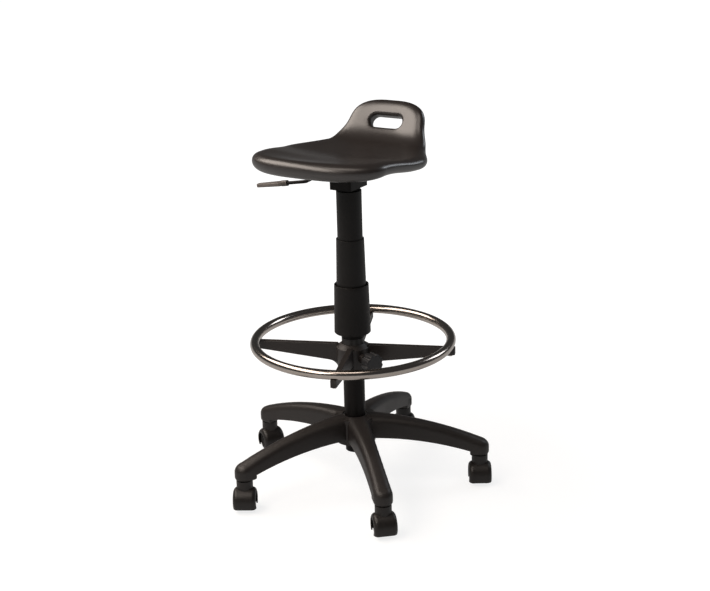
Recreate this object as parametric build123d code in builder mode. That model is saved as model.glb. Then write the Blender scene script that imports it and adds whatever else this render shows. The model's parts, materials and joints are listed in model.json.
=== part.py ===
"""Adjustable work stool: moulded seat, gas-lift column, foot ring and five-legged base on casters.

Millimetres and degrees, +Z up, floor at z = 0, column axis on Z.
The seat faces -Y, so the sitter's right hand is at -X.
"""
import os
from math import cos, radians, sin, sqrt

from build123d import *

# Clearances
fixed_fit = 0.05
running_fit = 0.08
moving_gap = 0.3

# Slack for picking edges by their place
pick_slack = 1.0

# Star base
leg_count = 5
leg_turn = 25.0
stem_circle_r = 295.0
leg_crown_z = 172.0
leg_arch_r = 780.0
leg_under_hub_z = 117.0
leg_under_mid_z = 111.0
leg_under_tip_z = 87.0
leg_hub_width = 60.0
leg_waist_width = 41.0
leg_waist_share = 0.6
leg_under_mid_share = 0.57
leg_round = 17.0
leg_wall = 4.0
socket_d = 44.0
socket_bottom_z = 74.0
socket_round = 8.0
hub_d = 96.0
hub_bottom_z = 106.0
hub_top_z = 168.0
sleeve_d = 58.0

# Casters
caster_trail = 5.0
caster_heading = (-59.0, -45.0, -32.0, -61.0, -48.0)
wheel_d = 50.0
wheel_width = 14.5
wheel_gap = 14.0
wheel_edge = 5.0
wheel_dish = 3.0
wheel_dish_out_d = 33.0
wheel_dish_in_d = 16.0
axle_d = 8.0
axle_cap = 2.0
hood_wall = 3.2
hood_skirt_z = 10.0
tower_start_z = 34.0
hood_side_d = 39.0
wheel_room = 2.0
fork_width = 11.6
tower_d = 38.0
stem_d = 11.0
stem_seat_z = 54.0
stem_top_z = 107.0
stem_groove_z = 101.0
stem_groove = 0.8
stem_chamfer = 1.5
axle_chamfer = 0.5

# Column and gas spring
column_d = 50.0
column_wall = 2.0
column_top_z = 480.0
column_bottom_z = 80.0
column_tip_d = 47.6
column_floor = 4.0
bush_length = 84.0
bush_flange = 4.0
race_d = 34.0
race_thick = 3.0
ball_d = 5.0
ball_count = 10
ball_circle_d = 22.0
cage_thick = 2.4
buffer_d = 30.0
buffer_thick = 8.0
rod_d = 10.0
rod_tail_d = 8.0
rod_tail_z = 72.0
clip_d = 14.0
clip_thick = 1.5
clip_groove = 1.0
washer_d = 24.0
washer_thick = 3.0
gas_d = 28.0
gas_wall = 1.5
gas_bottom_z = 400.0
gas_gland = 6.0
gas_top_z = 748.0
gas_tip_d = 26.6
piston_lift = 15.0
piston_thick = 10.0
valve_length = 25.0
pin_d = 8.0
pin_depth = 15.0
pin_proud = 5.0
pin_round = 1.0

# Telescoping covers
cover_wall = 2.0
lower_cover_bottom_z = 376.0
lower_cover_top_z = 493.0
lower_cover_bottom_d = 85.0
lower_cover_top_d = 80.0
lower_cover_floor = 4.0
lower_cover_chamfer = 1.5
middle_cover_bottom_z = 475.0
middle_cover_top_z = 602.0
middle_cover_bottom_d = 69.5
middle_cover_top_d = 64.3
upper_cover_bottom_z = 582.0
upper_cover_top_z = 715.0
upper_cover_d = 58.0
upper_cover_roof = 3.0
cover_edge = 0.8
cover_lip = 2.0

# Foot ring, its carrier and its clamp
ring_z = 356.0
ring_centre_d = 457.0
ring_tube_d = 22.0
ring_tube_wall = 1.5
arm_count = 4
arm_turn = 21.0
arm_top_z = 347.0
arm_thick = 14.0
arm_end_z = 329.0
arm_root_z = 306.0
arm_root_r = 56.0
arm_edge = 1.5
arm_sink = 1.0
carrier_top_d = 80.0
carrier_bottom_d = 74.0
carrier_bottom_z = 290.0
carrier_shoulder_z = 341.0
carrier_neck_z = 350.0
carrier_lip = 1.0
ring_bush_wall = 1.2
ring_bush_top_z = 364.0
ring_bush_bottom_z = 288.0
ring_screw_d = 5.0
ring_screw_head_d = 9.5
ring_screw_head = 3.0
ring_screw_bite = 4.0
ring_screw_seat = 0.8
knob_angle = -24.0
knob_z = 320.0
knob_d = 46.0
knob_thick = 25.0
knob_start_r = 64.0
knob_neck_d = 20.0
knob_neck = 8.0
knob_lobes = 8
knob_flute_d = 9.0
knob_flute_out = 1.8
knob_edge = 3.0
clamp_boss_d = 24.0
clamp_boss_end_r = 50.0
stud_d = 8.0
stud_in_knob = 15.0
stud_chamfer = 0.8
pad_d = 12.0
pad_thick = 5.5
pad_travel = 2.5
pad_band = 1.0

# Seat plate, socket and lever
plate_top_z = 768.0
plate_thick = 3.0
plate_size = 190.0
plate_corner = 25.0
box_width = 56.0
box_length = 78.0
box_bottom_z = 721.0
box_wall = 2.5
box_corner = 6.0
socket_hub_d = 36.0
socket_hub_bottom_z = 720.0
socket_hub_top_z = 746.0
lever_pivot_out = 34.0
lever_rod_d = 8.0
lever_reach_in = 4.0
lever_bend_out = 48.0
lever_mid_out = 115.0
lever_mid_drop = 35.0
lever_end_out = 180.0
lever_end_drop = 46.0
lever_bend_r = 25.0
lever_window = 15.0
lever_pin_d = 5.0
lever_pin_chamfer = 0.5
lever_eye_d = 12.0
lever_eye_width = 12.0
ear_thick = 3.0
ear_reach = 8.0
grip_start_out = 166.0
grip_end_out = 251.0
grip_root_width = 30.0
grip_tip_width = 15.0
grip_thick = 9.0
grip_collar_d = 14.0
grip_collar = 16.0
grip_neck = 4.0
grip_corner = 6.0
grip_round = 2.5

# Seat cushion, its board and its fasteners
seat_front = 210.0
seat_bend = 108.0
seat_bend_r = 78.0
back_rise = 56.5
back_straight = 67.5
seat_mid_z = 790.5
front_lift = 11.7
thigh_lift = 7.2
hollow_drop = 4.4
front_half = 168.0
front_depth = 98.0
hip_half = 181.0
hip_back = 20.0
waist_half = 121.0
back_half = 100.5
back_narrow = 53.0
top_half = 106.5
back_corner = 76.0
back_corner_power = 2.6
end_shares = (0.06, 0.18, 0.4, 0.7)
front_thick = 40.0
pan_thick = 30.0
back_thick = 29.0
dish = 5.0
tip_trim = 1.5
slot_from_top = 56.0
slot_length = 84.0
slot_width = 30.0
slot_round = 8.0
board_size = 220.0
board_corner = 40.0
board_thick = 12.0
boss_margin = 8.0
boss_flare = 25.0
boss_rise = 8.0
bolt_pitch = 160.0
bolt_d = 6.0
bolt_head_d = 11.0
bolt_head = 4.0
nut_flange_d = 19.0
nut_flange = 1.5
nut_barrel_d = 8.5
nut_barrel = 10.0

column_r = column_d / 2
column_bore_r = column_r - column_wall
gas_r = gas_d / 2
rod_r = rod_d / 2
lever_pivot_z = gas_top_z + pin_proud + lever_rod_d / 2
lower = (Align.CENTER, Align.CENTER, Align.MIN)
half_turn = 180.0
os.makedirs("parts", exist_ok=True)


def save(part, name):
    """Labels a finished piece and writes its STEP file."""
    part.label = name
    export_step(part, f"parts/{name}.step")


def turned(*outline):
    """A solid turned about the column axis from radius and height points."""
    with BuildPart() as piece:
        with BuildSketch(Plane.XZ):
            with BuildLine():
                Polyline(*outline, close=True)
            make_face()
        revolve(axis=Axis.Z)
    return piece.part


def column_skin_r(z):
    """Outer radius of the column, tapered where it sits in the base."""
    below = max(0.0, hub_top_z - z) / (hub_top_z - column_bottom_z)
    return column_r - below * (column_d - column_tip_d) / 2


def gas_skin_r(z):
    """Outer radius of the gas spring, tapered where it sits in the seat socket."""
    above = max(0.0, z - socket_hub_bottom_z) / (gas_top_z - socket_hub_bottom_z)
    return gas_r - above * (gas_d - gas_tip_d) / 2


def crest_z(r):
    """Height of a leg's top line."""
    return leg_crown_z - leg_arch_r + sqrt(leg_arch_r**2 - r**2)


# Star base
socket_in_r = stem_circle_r - socket_d / 2
leg_tip_r = stem_circle_r + socket_d / 2


def leg_block(inset, end_r, floor_z):
    """One leg, or the hollow under it when inset by the wall."""
    half_hub = leg_hub_width / 2 - inset
    half_waist = leg_waist_width / 2 - inset
    half_socket = socket_d / 2 - inset
    waist_r = stem_circle_r * leg_waist_share
    start = (0, leg_crown_z - inset)
    end = (end_r, crest_z(end_r) - inset)
    with BuildPart() as block:
        with BuildSketch(Plane.XZ):
            with BuildLine():
                ThreePointArc(start, (end_r / 2, crest_z(end_r / 2) - inset), end)
                Polyline(end, (end_r, floor_z), (0, floor_z), start)
            make_face()
        extrude(amount=leg_hub_width, both=True)
        with BuildSketch():
            with BuildLine():
                ThreePointArc((0, half_hub), (waist_r, half_waist), (stem_circle_r, half_socket))
                ThreePointArc(
                    (stem_circle_r, half_socket),
                    (leg_tip_r - inset, 0),
                    (stem_circle_r, -half_socket),
                )
                ThreePointArc((stem_circle_r, -half_socket), (waist_r, -half_waist), (0, -half_hub))
                Line((0, -half_hub), (0, half_hub))
            make_face()
        extrude(amount=2 * leg_crown_z, mode=Mode.INTERSECT)
        rim = block.faces().sort_by(Axis.Z)[-1].edges().filter_by(lambda e: e.center().X > pick_slack)
        fillet(rim, radius=leg_round - inset)
    return block.part


with BuildPart() as leg:
    add(leg_block(0, leg_tip_r, socket_bottom_z))
    with BuildSketch(Plane.XZ):
        with BuildLine():
            ThreePointArc(
                (0, leg_under_hub_z),
                (socket_in_r * leg_under_mid_share, leg_under_mid_z),
                (socket_in_r, leg_under_tip_z),
            )
            Polyline((socket_in_r, leg_under_tip_z), (socket_in_r, 0), (0, 0), (0, leg_under_hub_z))
        make_face()
    extrude(amount=leg_hub_width, both=True, mode=Mode.SUBTRACT)
    fillet(leg.faces().sort_by(Axis.Z)[0].edges(), radius=socket_round)
    add(leg_block(leg_wall, socket_in_r - leg_wall, 0), mode=Mode.SUBTRACT)

with BuildPart() as star_base:
    with Locations((0, 0, hub_bottom_z)):
        Cylinder(hub_d / 2, hub_top_z - hub_bottom_z, align=lower)
    for number in range(leg_count):
        add(leg.part.rotate(Axis.Z, leg_turn + number * 360 / leg_count))
    Cylinder(sleeve_d / 2 + fixed_fit, 2 * leg_crown_z, mode=Mode.SUBTRACT)
    with PolarLocations(stem_circle_r, leg_count, start_angle=leg_turn):
        Cylinder(stem_d / 2 + running_fit, stem_top_z + moving_gap, align=lower, mode=Mode.SUBTRACT)
save(star_base.part, "star_base")

sleeve_top_r = column_skin_r(hub_top_z) + fixed_fit
sleeve_bottom_r = column_skin_r(hub_bottom_z) + fixed_fit
hub_sleeve = turned(
    (sleeve_bottom_r, hub_bottom_z),
    (sleeve_d / 2, hub_bottom_z),
    (sleeve_d / 2, hub_top_z),
    (sleeve_top_r, hub_top_z),
)
save(hub_sleeve, "hub_sleeve")

# Casters, made once about a stem on the origin that trails along +X
wheel_r = wheel_d / 2
well_r = wheel_r + wheel_room
hood_r = well_r + hood_wall
caster_width = 2 * wheel_width + wheel_gap
well_width = caster_width + 2 * wheel_room
hood_width = well_width + 2 * hood_wall
tower_top_z = socket_bottom_z - moving_gap
axle_plane = Plane(origin=(caster_trail, 0, wheel_r), x_dir=(1, 0, 0), z_dir=(0, -1, 0))
drum_plane = Plane(origin=axle_plane.origin, x_dir=(1, 0, 0), z_dir=(0, 0, 1))
axle_line = Axis(axle_plane.origin, (0, 1, 0))

with BuildPart() as hood:
    with BuildSketch(drum_plane) as drum:
        Rectangle(hood_r, hood_width, align=(Align.MIN, Align.CENTER))
        fillet(drum.vertices().group_by(Axis.X)[-1], radius=wheel_edge + wheel_room + hood_wall)
    revolve(axis=axle_line)
    with BuildSketch(axle_plane):
        with Locations((0, hood_skirt_z - wheel_r)):
            Rectangle(4 * hood_r, 4 * hood_r, align=(Align.CENTER, Align.MAX))
    extrude(amount=hood_width, both=True, mode=Mode.SUBTRACT)
    with Locations((0, 0, tower_start_z)):
        Cylinder(tower_d / 2, tower_top_z - tower_start_z, align=lower)
    with BuildSketch(drum_plane) as well:
        Rectangle(well_r, well_width, align=(Align.MIN, Align.CENTER))
        fillet(well.vertices().group_by(Axis.X)[-1], radius=wheel_edge + wheel_room)
    revolve(axis=axle_line, mode=Mode.SUBTRACT)
    with BuildSketch(axle_plane):
        Circle(hood_side_d / 2)
    extrude(amount=hood_width, both=True, mode=Mode.SUBTRACT)
    with BuildSketch(axle_plane):
        Circle(well_r)
        with Locations((0, hood_skirt_z - wheel_r)):
            Rectangle(4 * hood_r, 4 * hood_r, align=(Align.CENTER, Align.MAX), mode=Mode.SUBTRACT)
    extrude(amount=fork_width / 2, both=True)
    with BuildSketch(axle_plane):
        Circle(axle_d / 2 + fixed_fit)
    extrude(amount=caster_width, both=True, mode=Mode.SUBTRACT)
    with Locations((0, 0, stem_seat_z)):
        Cylinder(stem_d / 2 + fixed_fit, stem_top_z, align=lower, mode=Mode.SUBTRACT)

with BuildPart() as stem:
    with Locations((0, 0, stem_seat_z)):
        Cylinder(stem_d / 2, stem_top_z - stem_seat_z, align=lower)
    chamfer(stem.edges().sort_by(Axis.Z)[-1], length=stem_chamfer)
    with BuildSketch(Plane.XZ):
        with Locations((stem_d / 2, stem_groove_z)):
            Rectangle(2 * stem_groove, 2 * stem_groove)
    revolve(axis=Axis.Z, mode=Mode.SUBTRACT)

axle_length = caster_width - 2 * axle_cap
with BuildPart() as axle:
    with BuildSketch(axle_plane):
        Circle(axle_d / 2)
    extrude(amount=axle_length / 2, both=True)
    chamfer(axle.edges().filter_by(GeomType.CIRCLE), length=axle_chamfer)


def wheel(side):
    """A wheel on one side of the fork: side is +1 towards +Y or -1 towards -Y."""
    inner = wheel_gap / 2
    outer = inner + wheel_width
    bore_r = axle_d / 2 + running_fit
    bore_end = axle_length / 2 + moving_gap
    with BuildPart() as piece:
        with BuildSketch(Plane.XY):
            with BuildLine():
                Polyline(
                    (bore_r, inner),
                    (wheel_r, inner),
                    (wheel_r, outer),
                    (wheel_dish_out_d / 2, outer),
                    (wheel_dish_out_d / 2 - wheel_dish, outer - wheel_dish),
                    (wheel_dish_in_d / 2 + wheel_dish, outer - wheel_dish),
                    (wheel_dish_in_d / 2, outer),
                    (0, outer),
                    (0, bore_end),
                    (bore_r, bore_end),
                    close=True,
                )
            make_face()
        revolve(axis=Axis.Y)
        rims = piece.edges().filter_by(GeomType.CIRCLE).group_by(SortBy.RADIUS)[-1]
        fillet(rims, radius=wheel_edge)
    turn = 0 if side > 0 else half_turn
    return piece.part.rotate(Axis.Z, turn).translate((caster_trail, 0, wheel_r))


wheel_left = wheel(1)
wheel_right = wheel(-1)
for number, heading in enumerate(caster_heading, 1):
    angle = radians(leg_turn + (number - 1) * 360 / leg_count)
    place = Location((stem_circle_r * cos(angle), stem_circle_r * sin(angle), 0), (0, 0, heading))
    save(hood.part.moved(place), f"caster_hood_{number}")
    save(stem.part.moved(place), f"caster_stem_{number}")
    save(axle.part.moved(place), f"caster_axle_{number}")
    save(wheel_left.moved(place), f"caster_wheel_left_{number}")
    save(wheel_right.moved(place), f"caster_wheel_right_{number}")

# Column
tail_hole_r = rod_tail_d / 2 + running_fit
floor_top_z = column_bottom_z + column_floor
column_tube = turned(
    (tail_hole_r, column_bottom_z),
    (column_skin_r(column_bottom_z), column_bottom_z),
    (column_r, hub_top_z),
    (column_r, column_top_z),
    (column_bore_r, column_top_z),
    (column_bore_r, hub_top_z),
    (column_skin_r(column_bottom_z) - column_wall, floor_top_z),
    (tail_hole_r, floor_top_z),
)
save(column_tube, "column_tube")

guide_bush = turned(
    (gas_r + running_fit, column_top_z - bush_length),
    (column_bore_r - fixed_fit, column_top_z - bush_length),
    (column_bore_r - fixed_fit, column_top_z),
    (column_r, column_top_z),
    (column_r, column_top_z + bush_flange),
    (gas_r + running_fit, column_top_z + bush_flange),
)
save(guide_bush, "guide_bush")

# Thrust bearing on the column's floor
balls_z = floor_top_z + race_thick
upper_race_z = balls_z + ball_d
rod_seat_z = upper_race_z + race_thick
race_hole_r = rod_tail_d / 2 + running_fit


def race(bottom_z):
    """A flat bearing race."""
    return turned(
        (race_hole_r, bottom_z),
        (race_d / 2, bottom_z),
        (race_d / 2, bottom_z + race_thick),
        (race_hole_r, bottom_z + race_thick),
    )


save(race(floor_top_z), "thrust_race_lower")
save(race(upper_race_z), "thrust_race_upper")

with BuildPart() as thrust_balls:
    with PolarLocations(ball_circle_d / 2, ball_count):
        with Locations((0, 0, balls_z + ball_d / 2)):
            Sphere(ball_d / 2)
save(thrust_balls.part, "thrust_balls")

with BuildPart() as thrust_cage:
    with Locations((0, 0, balls_z + ball_d / 2)):
        Cylinder(race_d / 2, cage_thick)
        Cylinder(race_hole_r, cage_thick, mode=Mode.SUBTRACT)
        with PolarLocations(ball_circle_d / 2, ball_count):
            Cylinder(ball_d / 2 + running_fit, cage_thick, mode=Mode.SUBTRACT)
save(thrust_cage.part, "thrust_cage")

# Piston rod with the washer and clip that hold it in the column
washer_z = column_bottom_z - washer_thick
clip_z = washer_z - clip_thick
groove_r = rod_tail_d / 2 - clip_groove
piston_z = gas_bottom_z + piston_lift
piston_rod = turned(
    (0, rod_tail_z),
    (rod_tail_d / 2, rod_tail_z),
    (rod_tail_d / 2, clip_z),
    (groove_r, clip_z),
    (groove_r, washer_z),
    (rod_tail_d / 2, washer_z),
    (rod_tail_d / 2, rod_seat_z),
    (rod_r, rod_seat_z),
    (rod_r, piston_z),
    (gas_r - gas_wall - running_fit, piston_z),
    (gas_r - gas_wall - running_fit, piston_z + piston_thick),
    (0, piston_z + piston_thick),
)
save(piston_rod, "piston_rod")

column_washer = turned(
    (tail_hole_r, washer_z),
    (washer_d / 2, washer_z),
    (washer_d / 2, column_bottom_z),
    (tail_hole_r, column_bottom_z),
)
save(column_washer, "column_washer")

column_clip = turned(
    (groove_r + fixed_fit, clip_z),
    (clip_d / 2, clip_z),
    (clip_d / 2, washer_z),
    (groove_r + fixed_fit, washer_z),
)
save(column_clip, "column_clip")

rubber_buffer = turned(
    (rod_r + fixed_fit, rod_seat_z),
    (buffer_d / 2, rod_seat_z),
    (buffer_d / 2, rod_seat_z + buffer_thick),
    (rod_r + fixed_fit, rod_seat_z + buffer_thick),
)
save(rubber_buffer, "rubber_buffer")

# Gas spring
gas_cavity_r = gas_r - gas_wall
pin_hole_r = pin_d / 2 + running_fit
pin_hole_z = gas_top_z - pin_depth - pin_proud
gas_tube = turned(
    (rod_r + running_fit, gas_bottom_z),
    (gas_r, gas_bottom_z),
    (gas_r, socket_hub_bottom_z),
    (gas_skin_r(gas_top_z), gas_top_z),
    (pin_hole_r, gas_top_z),
    (pin_hole_r, pin_hole_z),
    (0, pin_hole_z),
    (0, gas_top_z - valve_length),
    (gas_cavity_r, gas_top_z - valve_length),
    (gas_cavity_r, gas_bottom_z + gas_gland),
    (rod_r + running_fit, gas_bottom_z + gas_gland),
)
save(gas_tube, "gas_tube")

with BuildPart() as release_pin:
    with Locations((0, 0, gas_top_z - pin_depth)):
        Cylinder(pin_d / 2, pin_depth + pin_proud, align=lower)
    fillet(release_pin.edges().sort_by(Axis.Z)[-1], radius=pin_round)
save(release_pin.part, "release_pin")

# Telescoping covers
with BuildPart() as cover_lower:
    add(
        turned(
            (column_r + fixed_fit, lower_cover_bottom_z),
            (lower_cover_bottom_d / 2, lower_cover_bottom_z),
            (lower_cover_top_d / 2, lower_cover_top_z),
            (lower_cover_top_d / 2 - cover_wall, lower_cover_top_z),
            (lower_cover_top_d / 2 - cover_wall, lower_cover_bottom_z + lower_cover_floor),
            (column_r + fixed_fit, lower_cover_bottom_z + lower_cover_floor),
        )
    )
    rim = cover_lower.edges().filter_by(GeomType.CIRCLE).sort_by(SortBy.RADIUS)[-1]
    chamfer(rim, length=lower_cover_chamfer)
    lip = cover_lower.edges().group_by(Axis.Z)[-1].sort_by(SortBy.RADIUS)[-1]
    fillet(lip, radius=cover_edge)
save(cover_lower.part, "cover_lower")


def sleeve(bottom_z, top_z, bottom_d, top_d):
    """A thin tapered sleeve, open at both ends."""
    return turned(
        (bottom_d / 2 - cover_wall, bottom_z),
        (bottom_d / 2, bottom_z),
        (top_d / 2, top_z),
        (top_d / 2 - cover_wall, top_z),
    )


# The middle cover has a foot that slides in the lower cover and a lip round the upper one
with BuildPart() as cover_middle:
    add(sleeve(middle_cover_bottom_z, middle_cover_top_z, middle_cover_bottom_d, middle_cover_top_d))
    foot_r = lower_cover_top_d / 2 - cover_wall - moving_gap
    with Locations((0, 0, middle_cover_bottom_z)):
        Cylinder(foot_r, cover_lip, align=lower)
        Cylinder(middle_cover_bottom_d / 2 - cover_wall, cover_lip, align=lower, mode=Mode.SUBTRACT)
    with Locations((0, 0, middle_cover_top_z - cover_lip)):
        Cylinder(middle_cover_top_d / 2 - cover_wall / 2, cover_lip, align=lower)
        Cylinder(upper_cover_d / 2 + moving_gap, cover_lip, align=lower, mode=Mode.SUBTRACT)
    lip = cover_middle.edges().group_by(Axis.Z)[-1].sort_by(SortBy.RADIUS)[-1]
    fillet(lip, radius=cover_edge)
save(cover_middle.part, "cover_middle")

with BuildPart() as cover_upper:
    add(sleeve(upper_cover_bottom_z, upper_cover_top_z, upper_cover_d, upper_cover_d))
    roof_z = upper_cover_top_z - upper_cover_roof
    add(
        turned(
            (gas_r + fixed_fit, roof_z),
            (upper_cover_d / 2 - cover_wall / 2, roof_z),
            (upper_cover_d / 2 - cover_wall / 2, upper_cover_top_z),
            (gas_r + fixed_fit, upper_cover_top_z),
        )
    )
    lip = cover_upper.edges().group_by(Axis.Z)[-1].sort_by(SortBy.RADIUS)[-1]
    fillet(lip, radius=cover_edge)
save(cover_upper.part, "cover_upper")

# Foot ring, held by screws from under the arms
ring_r = ring_centre_d / 2
ring_tube_r = ring_tube_d / 2
ring_low_z = ring_z - ring_tube_r
with BuildPart() as foot_ring:
    with BuildSketch(Plane.XZ):
        with Locations((ring_r, ring_z)):
            Circle(ring_tube_r)
            Circle(ring_tube_r - ring_tube_wall, mode=Mode.SUBTRACT)
    revolve(axis=Axis.Z)
    with PolarLocations(ring_r, arm_count, start_angle=arm_turn):
        with Locations((0, 0, ring_low_z - ring_tube_wall)):
            Cylinder(ring_screw_d / 2 + fixed_fit, 3 * ring_tube_wall, align=lower, mode=Mode.SUBTRACT)
save(foot_ring.part, "foot_ring")

# Ring carrier: a hub with four arms, on two bushes that slide on the column, with the pad between them
ring_bush_in_r = column_r + running_fit
ring_bush_out_r = ring_bush_in_r + ring_bush_wall
carrier_bore_r = ring_bush_out_r + running_fit
arm_end_r = ring_r + ring_tube_r
knob_dir = (cos(radians(knob_angle)), sin(radians(knob_angle)), 0)


def clamp_plane(r):
    """A plane square to the clamp's axis at this distance from the column axis."""
    return Plane(origin=(r * knob_dir[0], r * knob_dir[1], knob_z), x_dir=(0, 0, 1), z_dir=knob_dir)


arm_slope = (arm_end_z - arm_root_z) / (arm_end_r - arm_root_r)
screw_seat_z = arm_root_z + (ring_r - arm_root_r) * arm_slope + ring_screw_seat
pad_start_r = column_r + running_fit
pad_end_r = pad_start_r + pad_thick
pad_room_r = pad_end_r + pad_travel + moving_gap
arm_start = (carrier_bottom_d / 2 - arm_sink, carrier_bottom_z + arm_sink)
with BuildPart() as arm:
    with BuildSketch(Plane.XZ):
        with BuildLine():
            Polyline(
                arm_start,
                (arm_start[0], arm_top_z),
                (arm_end_r, arm_top_z),
                (arm_end_r, arm_end_z),
                (arm_root_r, arm_root_z),
            )
            TangentArc(
                (arm_root_r, arm_root_z),
                arm_start,
                tangent=(arm_root_r - arm_end_r, arm_root_z - arm_end_z),
            )
        make_face()
    extrude(amount=arm_thick / 2, both=True)
    fillet(arm.edges().filter_by(lambda e: e.center().X > arm_root_r - pick_slack), radius=arm_edge)

with BuildPart() as ring_carrier:
    add(
        turned(
            (carrier_bore_r, carrier_bottom_z),
            (carrier_bottom_d / 2, carrier_bottom_z),
            (carrier_top_d / 2, carrier_shoulder_z),
            (carrier_bore_r + carrier_lip, carrier_neck_z),
            (carrier_bore_r, carrier_neck_z),
        )
    )
    with PolarLocations(0, arm_count, start_angle=arm_turn):
        add(arm.part)
    with BuildSketch(Plane.XZ):
        with Locations((ring_r, ring_z)):
            Circle(ring_tube_r + fixed_fit)
    revolve(axis=Axis.Z, mode=Mode.SUBTRACT)
    with PolarLocations(ring_r, arm_count, start_angle=arm_turn):
        Cylinder(ring_screw_d / 2 + fixed_fit, 2 * ring_z, mode=Mode.SUBTRACT)
        Cylinder(ring_screw_head_d / 2 + fixed_fit, screw_seat_z, align=lower, mode=Mode.SUBTRACT)
    with BuildSketch(clamp_plane(carrier_bore_r + 2 * fixed_fit)):
        Circle(clamp_boss_d / 2)
    extrude(amount=clamp_boss_end_r - carrier_bore_r)
    Cylinder(carrier_bore_r, 2 * ring_z, mode=Mode.SUBTRACT)
    with BuildSketch(clamp_plane(0)):
        Circle(pad_d / 2 + running_fit)
    extrude(amount=pad_room_r, mode=Mode.SUBTRACT)
    with BuildSketch(clamp_plane(0)):
        Circle(stud_d / 2 + running_fit)
    extrude(amount=2 * clamp_boss_end_r, mode=Mode.SUBTRACT)
save(ring_carrier.part, "ring_carrier")

with BuildPart() as ring_bush:
    add(
        turned(
            (ring_bush_in_r, ring_bush_bottom_z),
            (ring_bush_out_r, ring_bush_bottom_z),
            (ring_bush_out_r, ring_bush_top_z),
            (ring_bush_in_r, ring_bush_top_z),
        )
    )
    with Locations((0, 0, knob_z)):
        Cylinder(carrier_bore_r, pad_d + 2 * pad_band, mode=Mode.SUBTRACT)
save(ring_bush.part, "ring_bush")

screw_low_z = screw_seat_z - ring_screw_head
with BuildPart() as ring_screws:
    with PolarLocations(ring_r, arm_count, start_angle=arm_turn):
        with Locations((0, 0, screw_low_z)):
            Cylinder(ring_screw_head_d / 2, ring_screw_head, align=lower)
            Cylinder(ring_screw_d / 2, ring_low_z + ring_screw_bite - screw_low_z, align=lower)
save(ring_screws.part, "ring_screws")

# Clamp: knob, stud and pad on one line
with BuildPart() as clamp_pad:
    with BuildSketch(clamp_plane(pad_start_r)):
        Circle(pad_d / 2)
    extrude(amount=pad_thick)
save(clamp_pad.part, "clamp_pad")

stud_end_r = knob_start_r + stud_in_knob
with BuildPart() as clamp_stud:
    with BuildSketch(clamp_plane(pad_end_r)):
        Circle(stud_d / 2)
    extrude(amount=stud_end_r - pad_end_r)
    chamfer(clamp_stud.edges().filter_by(GeomType.CIRCLE), length=stud_chamfer)
save(clamp_stud.part, "clamp_stud")

with BuildPart() as clamp_knob:
    with BuildSketch(clamp_plane(knob_start_r)):
        Circle(knob_d / 2)
        with PolarLocations(knob_d / 2 + knob_flute_out, knob_lobes):
            Circle(knob_flute_d / 2, mode=Mode.SUBTRACT)
    extrude(amount=knob_thick)
    face_edges = clamp_knob.faces().sort_by(Axis((0, 0, 0), knob_dir))[-1].edges()
    fillet(face_edges, radius=knob_edge)
    with BuildSketch(clamp_plane(knob_start_r - knob_neck)):
        Circle(knob_neck_d / 2)
    extrude(amount=knob_neck)
    with BuildSketch(clamp_plane(0)):
        Circle(stud_d / 2 + fixed_fit)
    extrude(amount=stud_end_r + moving_gap, mode=Mode.SUBTRACT)
save(clamp_knob.part, "clamp_knob")

# Seat plate: a flat plate with a folded box below it
plate_low_z = plate_top_z - plate_thick
ear_in_y = lever_eye_width / 2 + moving_gap
with BuildPart() as seat_plate:
    with BuildSketch(Plane.XY.offset(plate_low_z)):
        RectangleRounded(plate_size, plate_size, plate_corner)
        with GridLocations(bolt_pitch, bolt_pitch, 2, 2):
            Circle(bolt_d / 2 + moving_gap, mode=Mode.SUBTRACT)
    extrude(amount=plate_thick)
    with BuildSketch(Plane.XY.offset(box_bottom_z)):
        RectangleRounded(box_width, box_length, box_corner)
    extrude(amount=plate_low_z - box_bottom_z)
    with BuildSketch(Plane.XY.offset(box_bottom_z + box_wall)):
        RectangleRounded(box_width - 2 * box_wall, box_length - 2 * box_wall, box_corner - box_wall)
    extrude(amount=plate_low_z - box_bottom_z - box_wall, mode=Mode.SUBTRACT)
    with Locations((0, 0, box_bottom_z)):
        Cylinder(socket_hub_d / 2 + fixed_fit, 4 * box_wall, mode=Mode.SUBTRACT)
    with Locations((-box_width / 2, 0, lever_pivot_z)):
        Box(4 * box_wall, lever_window, lever_window, mode=Mode.SUBTRACT)
    for side in (1, -1):
        with BuildSketch(Plane.XZ.offset(-side * (ear_in_y + ear_thick / 2))):
            with Locations((-box_width / 2, plate_low_z)):
                Rectangle(
                    lever_pivot_out + ear_reach - box_width / 2,
                    plate_low_z - lever_pivot_z + ear_reach,
                    align=(Align.MAX, Align.MAX),
                )
            with Locations((-lever_pivot_out, lever_pivot_z)):
                Circle(lever_pin_d / 2 + fixed_fit, mode=Mode.SUBTRACT)
        extrude(amount=ear_thick / 2, both=True)
save(seat_plate.part, "seat_plate")

seat_socket = turned(
    (gas_skin_r(socket_hub_bottom_z) + fixed_fit, socket_hub_bottom_z),
    (socket_hub_d / 2, socket_hub_bottom_z),
    (socket_hub_d / 2, socket_hub_top_z),
    (gas_skin_r(socket_hub_top_z) + fixed_fit, socket_hub_top_z),
)
save(seat_socket, "seat_socket")

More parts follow.
